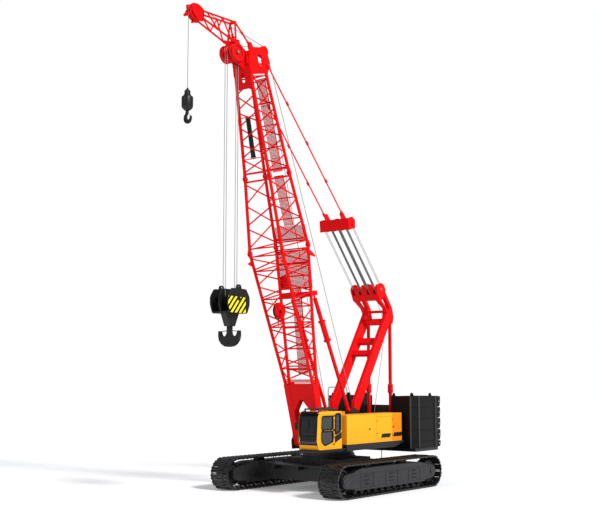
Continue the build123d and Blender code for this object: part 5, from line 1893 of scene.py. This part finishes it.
@dataclass
class Gantry:
    """Tapered front legs, head frame with its rope cover, back legs, bail and pendants."""

    shop: Workshop
    leg_y: tuple[float, float] = (575.0, 785.0)
    head: tuple[float, float] = GANTRY_PIN
    bail: tuple[float, float] = BAIL_PIN
    packs: tuple[float, ...] = (-660.0, -240.0, 240.0, 660.0)

    def build(self) -> None:
        """Builds gantry, bail and pendants."""
        y0, y1 = self.leg_y
        taper = [(-1330, 3330), (-1030, 3530), (-1150, 4150), (-4090, 8700), (-4530, 8420), (-1620, 3900)]
        legs = Form().both_sides(plate_xz(soft(taper, 60), y0, y1))
        beams = (
            ((-2850, 6450), (-3000, 6700), 100),
            ((-3420, 7060), (-3590, 7340), 110),
            ((-3980, 8130), (-4120, 8350), 130),
        )
        for low, high, half in beams:
            legs.add(plate_xz(strip(low, high, half), -y0, y0))
        nodes = ("gantry_legs",)
        self.shop.piece("gantry_leg_boxes", legs, BOOM_PAINT, "upper", "boom_red", nodes, bevel=12)
        self.build_head()
        self.build_back_legs()
        self.build_bail()
        self.build_pendants()

    def build_head(self) -> None:
        """Makes the gantry's head: side arms with windows, cheeks, slotted cover, rope pin."""
        y0, y1 = self.leg_y
        arm = [(-4740, 8520), (-4640, 8150), (-4420, 8150), (-4530, 8420), (-4090, 8700), (-3950, 8950)]
        arm += [(-3330, 9330), (-3930, 9860), (-4600, 9000)]
        window = [(-4330, 8850), (-4080, 8960), (-3620, 9330), (-3860, 9600), (-4300, 9050)]
        head = Form().both_sides(plate_xz(soft(arm, 40), y0, y1, (soft(window, 40),)))
        head.add(boxes([(-4560, -y0, 8740)], [(-4420, y0, 8880)]))
        head.add(plate_xz(strip((-3330, 9330), (-3930, 9860), 30), -y1, y1))
        cheek = [(-3360, 9300), (-3060, 9900), (-3200, 10150), (-3500, 10250), (-3800, 10140), (-3960, 9850)]
        for a, b in ((-y1 - 50, -y1), (-25, 25), (y1, y1 + 50)):
            head.add(plate_xz(soft(cheek, 120, 5), a, b))
        head.add(self.cover((-3330, 9330), (-3080, 9900), y1, 330.0))
        for a, b in ((-785, -745), (-575, -325), (-155, 155), (325, 575), (745, 785)):
            head.add(plate_xz(strip((-3085, 9890), (-3210, 10150), 20), a, b))
        nodes = ("gantry_head",)
        self.shop.piece("gantry_head_frame", head, BOOM_PAINT, "upper", "boom_red", nodes, bevel=8)
        x, z = self.head
        axle = Form().add(barrel((x, 0, z), 862, 72, (12, 12), 32))
        self.shop.piece("gantry_head_pin", axle, PIN_STEEL, "upper")

    def cover(self, low: Sequence[float], high: Sequence[float], half: float, closed: float) -> Surface:
        """Makes a leaning cover plate with an open-topped slot for each rope pack.

        Its outline runs along the lower edge and comes back up and down round each slot; a
        point (y, along) lies at low + along * (high - low) / length.

        Args:
            low: X and Z of its lower edge.
            high: X and Z of its upper edge.
            half: half its width.
            closed: how far up it has no slots.

        Returns:
            The surface.
        """
        low, high = np.asarray(low, float), np.asarray(high, float)
        reach = float(np.linalg.norm(high - low))
        run = (high - low) / reach
        packs = np.array([p for p in self.packs[::-1] if abs(p) < half])
        notch = np.array([(75, reach), (75, closed), (-75, closed), (-75, reach)], float)
        inner = np.concatenate([notch + (p, 0.0) for p in packs])
        inner[:, 0] = np.clip(inner[:, 0], -half + 12, half - 12)
        outline = np.concatenate([[(-half, 0.0), (half, 0.0), (half, reach)], inner, [(-half, reach)]])
        p, faces = prism(outline)
        normal = np.array([run[1], -run[0]])
        flat = low + p[:, 1:2] * run + (p[:, 2:3] - 0.5) * 40.0 * normal
        return np.stack([flat[:, 0], p[:, 0], flat[:, 1]], -1), faces

    def build_back_legs(self) -> None:
        """Makes the back legs: thin upper bars, thick link blocks and feet with pins."""
        foot = [(-4700, 2220), (-4330, 2220), (-4380, 2640), (-4450, 2720), (-4580, 2720), (-4650, 2640)]
        block = square(-4640, 4540, -4390, 5000)
        legs = Form().both_sides(
            boxes([(-4580, 610, 2220)], [(-4450, 750, 8150)]),
            plate_xz(soft(block, 50), 590, 770),
            plate_xz(soft(foot, 50), 560, 800),
        )
        pins = Form()
        for z in (2560.0, 4640.0, 4900.0):
            pins.both_sides(bar((-4515, 552, z), (-4515, 808, z), 42.0, 20))
        self.shop.piece("back_leg_bars", legs, BOOM_PAINT, "upper", "boom_red", ("back_legs",), bevel=8)
        self.shop.piece("back_leg_pins", pins, BOOM_PAINT, "upper")

    def build_bail(self) -> None:
        """Makes the bail: lugs, cheeks, its slotted cover and the rope pin."""
        lug = [(-1010, 12860), (-760, 12770), (-430, 13330), (-330, 13560), (-560, 13640), (-980, 13200)]
        bail = Form().both_sides(plate_xz(soft(lug, 70), 460, 530))
        cheek = [(-1100, 12820), (-560, 12700), (-500, 13280), (-860, 13400), (-1100, 13250)]
        for y0, y1 in ((-900, -820), (-25, 25), (820, 900)):
            bail.add(plate_xz(soft(cheek, 90, 5), y0, y1))
        bail.add(plate_xz(strip((-555, 12700), (-500, 13280), 20), -900, 900))
        for a, b in ((-820, -745), (-575, -325), (-155, 155), (325, 575), (745, 820)):
            bail.add(plate_xz(strip((-1075, 12850), (-1085, 13230), 20), a, b))
        self.shop.piece("bail_plates", bail, BOOM_PAINT, "boom", "boom_red", ("bail",), bevel=8)
        x, z = self.bail
        steel = Form().add(barrel((x, 0, z), 985, 60))
        self.shop.piece("bail_pin", steel, BOOM_PAINT, "boom")

    def build_pendants(self) -> None:
        """Makes the pendant bars with their links and pins."""
        bars, steel = Form(), Form()
        top, low = AXES.at(17900, -690, 0)[[0, 2]], np.array([-500.0, 13470.0])
        u = (low - top) / np.linalg.norm(low - top)
        reach = float(np.linalg.norm(low - top)) * 0.013
        bars.both_sides(plate_xz(strip(top, low, 38), 530, 560))
        for f in (0.0, 0.24, 0.5, 0.76, 0.985):
            mid = top + (low - top) * f
            link = soft(strip(mid - u * reach, mid + u * reach, 62), 60, 4)
            bars.both_sides(plate_xz(link, 530, 596))
            for d in (-0.55, 0.55):
                x, z = mid + u * reach * d
                steel.both_sides(bar((x, 522, z), (x, 606, z), 30.0, 18))
        self.shop.piece("pendant_bars", bars, BOOM_PAINT, "boom", "boom_red", ("pendants",), bevel=4)
        self.shop.piece("pendant_pins", steel, PIN_STEEL, "boom")


@dataclass
class Backstops:
    """Two telescopic stays between house and boom: stepped rods below, collared tubes above."""

    shop: Workshop
    foot: tuple[float, float] = (-830.0, 3520.0)
    top: tuple[float, float] = (2080.0, 9270.0)
    y: float = 680.0

    def build(self) -> None:
        """Builds rods and tubes as turned parts."""
        run = np.subtract(self.top, self.foot)
        axis = (run[0], 0.0, run[1])
        rod = [(100, 0.1), (100, 90), (4340, 90), (4350, 84), (4350, 60), (5950, 60), (5950, 0.1)]
        sleeve = [(4000, 90.4), (4000, 177), (4008, 185), (4052, 185), (4060, 177), (4060, 135), (5000, 135)]
        sleeve += [(5000, 177), (5008, 185), (5052, 185), (5060, 177), (5060, 100), (6240, 100)]
        sleeve += [(6250, 90), (6250, 50), (6500, 50), (6500, 0.1), (6190, 0.1), (6190, 60.4)]
        sleeve += [(4600, 60.4), (4600, 90.4)]
        rods, sleeves, pins = Form(), Form(), Form()
        for side in (-1, 1):
            centre = (self.foot[0], side * self.y, self.foot[1])
            rods.add(turned(rod, centre, axis, 32))
            rods.add(turned([(120, 92), (150, 104), (330, 104), (360, 92)], centre, axis, 32))
            rods.add(barrel(centre, 50, 148, (8, 18), 36))
            pins.add(barrel(centre, 155, 60))
            sleeves.add(turned(sleeve, centre, axis, 40))
            sleeves.add(turned([(5500, 98), (5500, 108), (5560, 108), (5560, 98)], centre, axis, 40))
        node = "backstop_rods"
        self.shop.piece("backstop_rod_bars", rods, BOOM_PAINT, node, "boom_red", (node,))
        self.shop.piece("backstop_pins", pins, PIN_STEEL, node)
        node = "backstop_tubes"
        self.shop.piece("backstop_sleeves", sleeves, BOOM_PAINT, node, "boom_red", (node,))


@dataclass
class TipExtension:
    """The short tube frame ahead of the head, which carries the second line."""

    shop: Workshop
    tip: tuple[float, float] = TIP_PIN
    apex: tuple[float, float] = (7260.0, 21400.0)
    seat: tuple[float, float] = (7560.0, 20470.0)
    seat_y: float = 252.0
    heel: tuple[float, float] = (18950.0, 310.0)

    def build(self) -> None:
        """Builds tubes, cheeks, feet and the pin."""
        (tx, tz), (ax, az), (sx, sz) = self.tip, self.apex, self.seat
        lattice, plates = Form(), Form()
        apex, seat = np.array([ax, 150.0, az]), np.array([sx, self.seat_y, sz])
        upper, lower = np.array([tx - 350, 200.0, tz + 110]), np.array([tx - 350, 200.0, tz - 220])
        front, rear = np.array([sx - 250, self.seat_y, sz + 20]), AXES.at(*self.heel, 428.0)
        lattice.both_sides(tubes(np.array([upper, lower, apex]), np.array([apex, seat, front]), 45.0, 16))
        lattice.both_sides(tubes(apex[None], rear[None], 40.0, 16))
        for f, radius, half in ((0.5, 58.0, 70.0), (0.93, 56.0, 60.0)):
            mid, way = apex + (rear - apex) * f, unit(rear - apex)
            lattice.both_sides(tubes([mid - way * half], [mid + way * half], radius, 16))
        pairs = np.array([(0.5, 0.4), (0.5, 0.875), (0.03, 0.4)])
        a, b = seat + (lower - seat) * pairs[:, :1], apex + (upper - apex) * pairs[:, 1:]
        lattice.both_sides(tubes(a, b, 34.0, 14))
        cheek = [(-440, -350), (-170, -390), (250, -120), (330, 300), (-70, 360), (-440, 220)]
        foot = [(-560, -75), (60, -75), (60, 70), (-480, 130)]
        heel = [(-250, -110), (40, -70), (90, 20), (40, 90), (-250, 110)]
        s, n = self.heel
        plates.both_sides(
            plate_xz(soft(moved(cheek, tx, tz), 110, 5), 140, 190),
            plate_xz(soft(moved(foot, sx, sz), 50), 190, 260),
            AXES.side_plate(soft(moved(heel, s, n), 40), 410, 470),
        )
        lattice.add(bar((ax, -170, az), (ax, 170, az), 70.0, 20))
        lattice.add(bar((sx - 258, -252, sz + 200), (sx - 258, 252, sz + 200), 40.0, 16))
        plates.add(boxes([(tx - 440, -190, tz - 280)], [(tx - 375, 190, tz + 170)]))
        rollers = (
            ((tx + 445, tz - 230), 66.0, (tx + 290, tz + 40)),
            ((tx - 12, tz - 430), 48.0, (tx - 60, tz - 300)),
        )
        for (x, z), radius, root in rollers:
            plates.add(bar((x, -150, z), (x, 150, z), radius, 20))
            plates.both_sides(plate_xz(strip(root, (x, z), 26), 150, 172))
        self.shop.piece("tip_extension_tubes", lattice, BOOM_PAINT, "boom", "boom_red", ("tip_extension",))
        self.shop.piece("tip_extension_plates", plates, BOOM_PAINT, "boom", "boom_red", bevel=5)
        pin = Form().add(barrel((tx, 0, tz), 206, 44, (10, 8)))
        self.shop.piece("tip_pin", pin, BOOM_PAINT, "boom")


@dataclass
class Hooks:
    """The main hook block with its ramshorn hook, and the ball with its single hook."""

    shop: Workshop
    x: float = HOOK_X
    block_z: float = BLOCK_Z
    neck_z: float = 7560.0
    fall_y: float = FALL_Y
    aux_x: float = 10109.3
    ball_low: float = 16700.0

    def build(self) -> None:
        """Builds both hooks."""
        self.build_block()
        self.build_ramshorn()
        self.build_ball()

    def build_block(self) -> None:
        """Makes cheeks with their striped lower band, sheaves, pin nuts, cross head, neck."""
        z, form = self.block_z, Form()
        cheek = [(-560, -640), (560, -640), (715, -260), (715, 90), (480, 440), (-480, 440), (-715, 90)]
        cheek += [(-715, -260)]
        outline = soft(moved(cheek, self.x, z), 90, 5)
        lug = [(-200, 390), (200, 390), (120, 620), (-120, 620)]
        hole = circle(self.x, z + 530, 42, 20)
        form.both_sides(
            plate_xz(outline, 480, 540),
            plate_xz(soft(moved(lug, self.x, z), 60), 482, 538, (hole,)),
        )
        form.add(plate_xz(outline, -30, 30))
        for y in (-self.fall_y, self.fall_y):
            form.add(turned(sheave_line(418, 360, 36, 80), (self.x, y, z), ACROSS, 56))
        form.add(boxes([(self.x - 560, -480, z - 640)], [(self.x + 560, 480, z - 560)]))
        nut = mirrored([(-556, 70), (-548, 105), (-540, 105), (-540, 80)])
        form.add(turned(nut, (self.x, 0, z), ACROSS, 36))
        neck = [(-420, z - 640), (420, z - 640), (170, self.neck_z), (-170, self.neck_z)]
        form.add(plate_xz(moved(neck, self.x, 0), -170, 170))
        self.shop.piece("hook_block_works", form, HOOK_STEEL, "hook_block", "", ("hook_block",), bevel=8)
        band = [(-440, -620), (545, -625), (700, -262), (690, 90), (-440, 60)]
        stripes = Form().both_sides(plate_xz(soft(moved(band, self.x, z), 60, 4), 538, 543))
        self.shop.piece("hook_block_stripes", stripes, HOOK_STRIPES, "hook_block")

    def build_ramshorn(self) -> None:
        """Makes the forged double hook with its eye, and its two latches."""
        n = self.neck_z
        right = [(110, -FIT), (112, -250), (132, -345), (200, -425), (305, -450), (410, -425), (478, -330)]
        right += [(500, -235), (560, -190), (604, -205), (618, -400), (575, -600), (440, -770), (250, -878)]
        outline = moved([*right, (0, -910), *((-y, z) for y, z in right[::-1])], 0, n)
        eye = circle(0, n - 730, 50, 32)
        horn = Form().add(plate_yz(soft(outline, 30, 3), self.x - 79, self.x + 79, (eye,)))
        node = "ramshorn_hook"
        self.shop.piece("ramshorn_forging", horn, HOOK_STEEL, node, "", (node,), bevel=24)
        latch = Form()
        for side in (-1, 1):
            bend = [(self.x, side * y, n - down) for y, down in ((118, 190), (330, 215), (520, 225))]
            latch.add(pipe(bend, 22.0, 10, UP))
        self.shop.piece("ramshorn_latches", latch, PIN_STEEL, node)

    def build_ball(self) -> None:
        """Makes the ball, its swivel socket and the single hook with its latch."""
        z = self.ball_low
        line = [(0, 0.1), (0, 120), (40, 165), (100, 225), (170, 250), (560, 250), (600, 238), (630, 190)]
        line += [(640, 140), (655, 140), (660, 170), (682, 170), (687, 132), (850, 132), (880, 110)]
        line += [(940, 44), (990, 38), (990, 0.1)]
        ball = Form().add(turned(line, (self.aux_x, 0, z), UP, 48))
        self.shop.piece("aux_ball_turning", ball, HOOK_STEEL, "aux_ball", "", ("aux_ball",), bevel=5)
        hook = [(-60, -FIT), (60, -FIT), (68, -140), (28, -180), (-8, -250), (-12, -340), (30, -410)]
        hook += [(90, -436), (150, -400), (186, -330), (192, -250), (258, -268), (262, -400), (205, -530)]
        hook += [(90, -594), (-50, -575), (-150, -480), (-182, -350), (-160, -230), (-80, -140)]
        outline = soft(moved(hook, 0, z), 24, 3)
        form = Form().add(plate_yz(outline, self.aux_x - 44, self.aux_x + 44))
        self.shop.piece("single_hook_forging", form, HOOK_STEEL, "aux_hook", "", ("aux_hook",), bevel=14)
        latch = [(self.aux_x, y, z - down) for y, down in ((62, 120), (140, 190), (214, 258))]
        self.shop.piece("single_hook_latch", Form().add(pipe(latch, 11.0, 8, ALONG)), PIN_STEEL, "aux_hook")


# ---- cab ----


@dataclass
class Cab:
    """The operator's cab: shell with big windows, seals, door, seat, guard and lamps."""

    shop: Workshop
    y0: float = 1020.0
    y1: float = 2120.0
    side: XZ = ((1820, 2070), (3560, 2070), (3730, 2450), (3650, 3560), (3480, 3780), (1820, 3780))
    door: XZ = ((2420, 2140), (3380, 2140), (3500, 2450), (3450, 3640), (2420, 3640))
    window: XZ = ((1950, 2900), (2300, 2750), (2300, 3620), (1950, 3620))
    far_window: XZ = ((2050, 2800), (3450, 2600), (3420, 3600), (2050, 3600))
    door_up: XZ = ((2520, 2980), (3390, 2980), (3360, 3560), (2520, 3560))
    door_low: XZ = ((2520, 2420), (3150, 2260), (3400, 2460), (3395, 2880), (2520, 2880))
    seal_in: float = 26.0

    @staticmethod
    def front(z: Points) -> Points:
        """Gives X of the cab's front outline at height z."""
        z = np.asarray(z, float)
        return np.where(z < 2450, 3560 + (z - 2070) * 170 / 380, 3730 - (z - 2450) * 80 / 1110)

    def build(self) -> None:
        """Builds the cab."""
        self.build_shell()
        self.build_seals()
        self.build_door()
        self.build_inside()
        self.build_outside()
        self.shop.dress(CAB_GLASS, "cab_glass", "door_glass")

    def build_shell(self) -> None:
        """Makes both side walls with their openings, floor, roof, rear wall and front frames."""
        form, t = Form(), 50.0
        form.add(plate_xz(self.side, self.y1 - t, self.y1, (self.door, self.window)))
        form.add(plate_xz(self.side, self.y0, self.y0 + t, (self.far_window,)))
        a, b = self.y0 + t, self.y1 - t
        form.add(boxes([(1820, a, 2070)], [(3555, b, 2130)]))
        hatch = square(2400, self.y0 + 150, 3300, self.y1 - 150)
        form.add(plate_xy(square(1820, a, 3475, b), 3725, 3780, (hatch,)))
        rear = square(a, 2130, b, 3725)
        form.add(plate_yz(rear, 1820, 1870, (self.rear_pane(),)))
        for z0, z1 in ((2070, 2300), (2700, 2780), (3480, 3560)):
            z = np.array([z0, min(max(2450, z0), z1), z1], float)
            keep = [0, 1, 2] if z0 < 2450 < z1 else [0, 2]
            line = np.stack([self.front(z), z], -1)[keep]
            form.add(plate_xz(np.concatenate([line, line[::-1] - (55, 0)]), a, b))
        form.add(plate_xz([(3650, 3560), (3480, 3780), (3440, 3740), (3595, 3545)], a, b))
        for y in (a, b - 40):
            edge = [(3541, 2140), (3712, 2452), (3634, 3560), (3584, 3555), (3662, 2456), (3500, 2150)]
            form.add(plate_xz(edge, y, y + 40))
        nodes = ("cab_shell",)
        self.shop.piece("cab_shell_panels", form, HOUSE_PAINT, "upper", "house_yellow", nodes, bevel=14)

    def rear_pane(self) -> list[tuple[float, float]]:
        """Gives the rear window's opening in Y and Z."""
        y0, y1 = self.y0 + 150, self.y1 - 150
        return square(y0, 2900, y1, 3600)

    @staticmethod
    def ring(outline: XZ, out: float, wide: float) -> tuple[Points, Points]:
        """Gives both edges of a frame round an opening, with soft corners.

        Args:
            outline: the opening's corners.
            out: how far the outer edge stands off them.
            wide: the frame's width.

        Returns:
            The outer and the inner edge.
        """
        corners = np.asarray(outline, float)
        centre = (corners.max(0) + corners.min(0)) / 2
        reach = (corners.max(0) - corners.min(0)) / 2
        outer = centre + (soft(corners, 120, 6) - centre) * (1 + out / reach)
        return outer, centre + (outer - centre) * (1 - wide / (reach + out))

    def seal(self, outline: XZ, out: float, y0: float, y1: float) -> Surface:
        """Makes a black frame round a side opening, grown by out, from y0 to y1."""
        outer, inner = self.ring(outline, out, out + self.seal_in)
        return plate_xz(outer, y0, y1, (inner,))

    def front_ring(self, z0: float, z1: float, wide: float) -> Surface:
        """Makes a black frame that lies on the front: each point's X is the front's X at its Z.

        Args:
            z0: its lower height.
            z1: its upper height.
            wide: its width.

        Returns:
            The surface.
        """
        y0, y1 = self.y0 + 24, self.y1 - 24
        sides = np.linspace(z0, z1, 7)
        outline = [*((y1, z) for z in sides), *((y0, z) for z in sides[::-1])]
        outer, inner = self.ring(outline, 0, wide)
        p, faces = prism(outer, (inner,))
        return np.stack([self.front(p[:, 1]) + 10 * p[:, 2], p[:, 0], p[:, 1]], -1), faces

    def build_seals(self) -> None:
        """Makes the black frames round the fixed panes and the dark band by the rear one."""
        form, y = Form(), self.y1
        form.add(self.seal(self.window, 85, y - 30, y + 5))
        form.add(self.seal(self.far_window, 20, self.y0 - 5, self.y0 + 30))
        outer, inner = self.ring(self.rear_pane(), 20, 20 + self.seal_in)
        form.add(plate_yz(outer, 1812, 1842, (inner,)))
        form.add(self.front_ring(2690, 3560, 90), self.front_ring(2285, 2700, 30))
        visor = [(3652, 3552), (3545, 3692), (3553, 3697), (3662, 3558)]
        form.add(plate_xz(visor, self.y0 + 24, self.y1 - 24))
        band = [(1850, 2560), (2395, 2330), (2395, 2640), (1850, 2840)]
        form.add(plate_xz(soft(band, 20), y, y + 4))
        self.shop.piece("cab_window_frames", form, RUBBER, "upper")

    def build_door(self) -> None:
        """Dresses the door: black frames round both panes, handle, hinges and grab bar."""
        self.shop.dress(HOUSE_PAINT, "cab_door")
        seals, steel, y = Form(), Form(), self.y1
        for outline in (self.door_up, self.door_low):
            seals.add(self.seal(outline, 45, y - 30, y + 5))
        self.shop.piece("cab_door_frames", seals, RUBBER, "cab_door")
        for z in (2300.0, 2930.0, 3580.0):
            steel.add(bar((2440, self.y1 + 14, z - 45), (2440, self.y1 + 14, z + 45), 13.0, 12))
            steel.add(boxes([(2440, y, z - 38)], [(2510, y + 9, z + 38)]))
        handle = [(3395, y, 2930), (3395, y + 38, 2930), (3240, y + 38, 2930), (3240, y, 2930)]
        steel.add(pipe(rounded(handle, 16, 4), 12.0, 8, UP))
        grab = [(2475, y, 2600), (2475, y + 62, 2600), (2475, y + 62, 3400), (2475, y, 3400)]
        steel.add(pipe(rounded(grab, 24, 5), 11.0, 8, ALONG))
        self.shop.piece("cab_door_hinges_and_handle", steel, RUBBER, "cab_door")

    def build_inside(self) -> None:
        """Makes the seat, both consoles with levers, the display and pedals."""
        cushion, dark = Form(), Form()
        seat = [(2160, 2455), (2690, 2455), (2700, 2530), (2640, 2575), (2200, 2560)]
        cushion.add(plate_xz(soft(seat, 50), 1340, 1820))
        back = [(2070, 2590), (2190, 2575), (2160, 3240), (2090, 3245)]
        cushion.add(plate_xz(soft(back, 45), 1360, 1800))
        name, nodes = "operator_seat_cushions", ("operator_seat",)
        self.shop.piece(name, cushion, SEAT_CLOTH, "upper", "seat_black", nodes, bevel=25)
        dark.add(plate_xz([(2260, 2130), (2590, 2130), (2540, 2440), (2310, 2440)], 1440, 1720))
        for y in (1182.0, 1860.0):
            console = [(2160, 2140), (2740, 2140), (2745, 2640), (2600, 2740), (2160, 2740)]
            dark.add(plate_xz(soft(console, 50), y, y + 105))
            dark.add(bar((2640, y + 52, 2700), (2665, y + 52, 2880), 12.0, 10))
            dark.add(turned([(0, 10), (12, 26), (50, 28), (62, 12)], (2665, y + 52, 2870), (0.1, 0, 1), 16))
        screen = [(3300, 2720), (3330, 2720), (3310, 2960), (3280, 2960)]
        dark.add(plate_xz(screen, 1150, 1430))
        dark.add(bar((3320, 1290, 2140), (3310, 1290, 2750), 22.0, 10))
        for y in (1500.0, 1640.0):
            dark.add(plate_xz([(3250, 2132), (3330, 2132), (3420, 2260), (3395, 2275)], y, y + 80))
        self.shop.piece("cab_consoles", dark, RUBBER, "upper")

    def build_outside(self) -> None:
        """Makes the roof guard, lamps, wiper, mirror, hood, front rail and walkway edge."""
        guard, lens, black = Form(), Form(), Form()
        a, b, top = self.y0 + 110, self.y1 - 110, 3890
        loop = [(2900, a), (2200, a), (2200, b), (3400, b), (3400, a), (2900, a)]
        guard.add(pipe(rounded([(x, y, top) for x, y in loop], 90, 5), 32.0, 12, UP))
        for y in np.linspace(a + 110, b - 110, 6):
            guard.add(bar((2200, y, top), (3400, y, top), 12.0, 8))
        for x in (2300.0, 3300.0):
            for y in (a, b):
                guard.add(bar((x, y, 3770), (x, y, top), 26.0, 12))
        self.shop.piece("cab_roof_guard", guard, RAIL_STEEL, "upper")
        for y in (self.y0 + 120, self.y1 - 200):
            black.add(boxes([(3430, y, 3785)], [(3530, y + 110, 3850)]))
            lens.add(boxes([(3530, y + 10, 3795)], [(3536, y + 100, 3842)]))
        arm = [(3680, 1500, 2760), (3684, 1500, 2790), (3668, 1640, 3300)]
        black.add(pipe(arm, 8.0, 8, ACROSS))
        black.add(boxes([(3656, 1615, 3040)], [(3668, 1640, 3460)]))
        y = self.y0
        stay = [(3560, y + 10, 3500), (3700, y - 120, 3500), (3700, y - 120, 3180)]
        black.add(pipe(rounded(stay, 50, 5), 11.0, 8, (0.3, 0.2, 1)))
        glass = square(y - 40, 2960, y - 180, 3280)
        black.add(plate_yz(soft(glass, 50), 3700, 3735))
        hood = [(3480, 3780), (3640, 3700), (3646, 3712), (3484, 3794)]
        black.add(plate_xz(hood, self.y0 + 60, self.y1 - 60))
        self.shop.piece("cab_lamps_wiper_and_mirrors", black, RUBBER, "upper", bevel=4)
        self.shop.piece("cab_lamp_lenses", lens, LAMP_LENS, "upper")
        rail = Form().add(boxes([(1000, 2100, 2020)], [(3560, 2190, 2060)]))
        front = [(3640, 1060, 2010), (3760, 1060, 2010), (3760, 2060, 2010), (3640, 2060, 2010)]
        rail.add(pipe(rounded(front, 60, 5), 20.0, 10, UP))
        self.shop.piece("cab_walkway_edge", rail, CHASSIS_PAINT, "upper", "undercarriage_grey")


# ---- studio ----


@dataclass(frozen=True)
class Studio:
    """Camera, lamps, white floor and white surroundings."""

    eye: tuple[float, float, float] = (40.478, 30.021, 5.228)
    turn: float = 38.161
    lift: float = 6.956
    lens: float = 60.83

    def build(self) -> None:
        """Sets up the view, the light and the floor."""
        scene = bpy.context.scene
        scene.view_settings.view_transform = "Standard"
        data = bpy.data.cameras.new("camera")
        data.lens = self.lens
        data.sensor_width = 36.0
        data.clip_end = 500.0
        camera = add_object("camera", data)
        a, p = math.radians(self.turn), math.radians(self.lift)
        look = Vector((-math.cos(a) * math.cos(p), -math.sin(a) * math.cos(p), math.sin(p)))
        aim = look.to_track_quat("-Z", "Y").to_matrix().to_4x4()
        camera.matrix_world = Matrix.Translation(self.eye) @ aim
        scene.camera = camera
        key = self._sun("key_sun", 3.2, (0.16, 0.85, -0.62), 10.0)
        fill = self._sun("fill_sun", 0.25, (0.9, -0.2, -0.4), 30.0)
        self._world()
        floor = self._floor()

    @staticmethod
    def _sun(name: str, strength: float, toward: Sequence[float], soft_deg: float) -> bpy.types.Object:
        """Makes a sun lamp that shines against the given direction.

        Args:
            name: its name.
            strength: its strength.
            toward: X and Y towards the lamp, and Z down from it.
            soft_deg: its apparent size in degrees.

        Returns:
            The lamp.
        """
        data = bpy.data.lights.new(name, "SUN")
        data.energy = strength
        data.angle = math.radians(soft_deg)
        lamp = add_object(name, data)
        ray = Vector((-toward[0], -toward[1], toward[2]))
        lamp.rotation_euler = ray.to_track_quat("-Z", "Y").to_euler()
        return lamp

    @staticmethod
    def _world() -> None:
        """Makes a plain white world, at full white towards the camera."""
        world = bpy.data.worlds.new("studio_white")
        world.use_nodes = True
        tree = world.node_tree
        tree.nodes.clear()
        path = add_node(tree, "ShaderNodeLightPath")
        light = add_node(tree, "ShaderNodeBackground", {"Color": (0.92, 0.95, 1.0, 1.0), "Strength": 0.38})
        white = add_node(tree, "ShaderNodeBackground", {"Color": (1.0, 1.0, 1.0, 1.0), "Strength": 1.0})
        mix = add_node(tree, "ShaderNodeMixShader", Fac=path.outputs["Is Camera Ray"])
        tree.links.new(light.outputs[0], mix.inputs[1])
        tree.links.new(white.outputs[0], mix.inputs[2])
        add_node(tree, "ShaderNodeOutputWorld", Surface=mix.outputs[0])
        bpy.context.scene.world = world

    @staticmethod
    def _floor() -> bpy.types.Object:
        """Makes the white floor, which keeps the shadow.

        Returns:
            The floor.
        """
        points = np.array([(-150, -150, 0), (150, -150, 0), (150, 150, 0), (-150, 150, 0)], float)
        mesh = bpy.data.meshes.new("floor")
        mesh.from_pydata(points.tolist(), [], [(0, 1, 2, 3)])
        floor = add_object("floor", mesh)
        material = bpy.data.materials.new("white_studio_floor")
        material.use_nodes = True
        tree = material.node_tree
        tree.nodes.clear()
        paper = add_node(tree, "ShaderNodeBsdfDiffuse", {"Color": (0.93, 0.93, 0.93, 1.0)})
        glow = add_node(tree, "ShaderNodeEmission", {"Color": (1.0, 1.0, 1.0, 1.0), "Strength": 0.16})
        both = add_node(tree, "ShaderNodeAddShader")
        tree.links.new(paper.outputs[0], both.inputs[0])
        tree.links.new(glow.outputs[0], both.inputs[1])
        add_node(tree, "ShaderNodeOutputMaterial", Surface=both.outputs[0])
        mesh.materials.append(material)
        return floor


def main() -> None:
    logging.basicConfig(level=logging.INFO, format="%(message)s")
    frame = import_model()
    shop = Workshop(frame, PaintShop())
    Undercarriage(shop).build()
    Houses(shop).build()
    Counterweight(shop).build()
    Gantry(shop).build()
    Backstops(shop).build()
    LatticeBoom(shop).build()
    TipExtension(shop).build()
    Reeving(shop).build()
    Cab(shop).build()
    Hooks(shop).build()
    Studio().build()


if __name__ == "__main__":
    main()
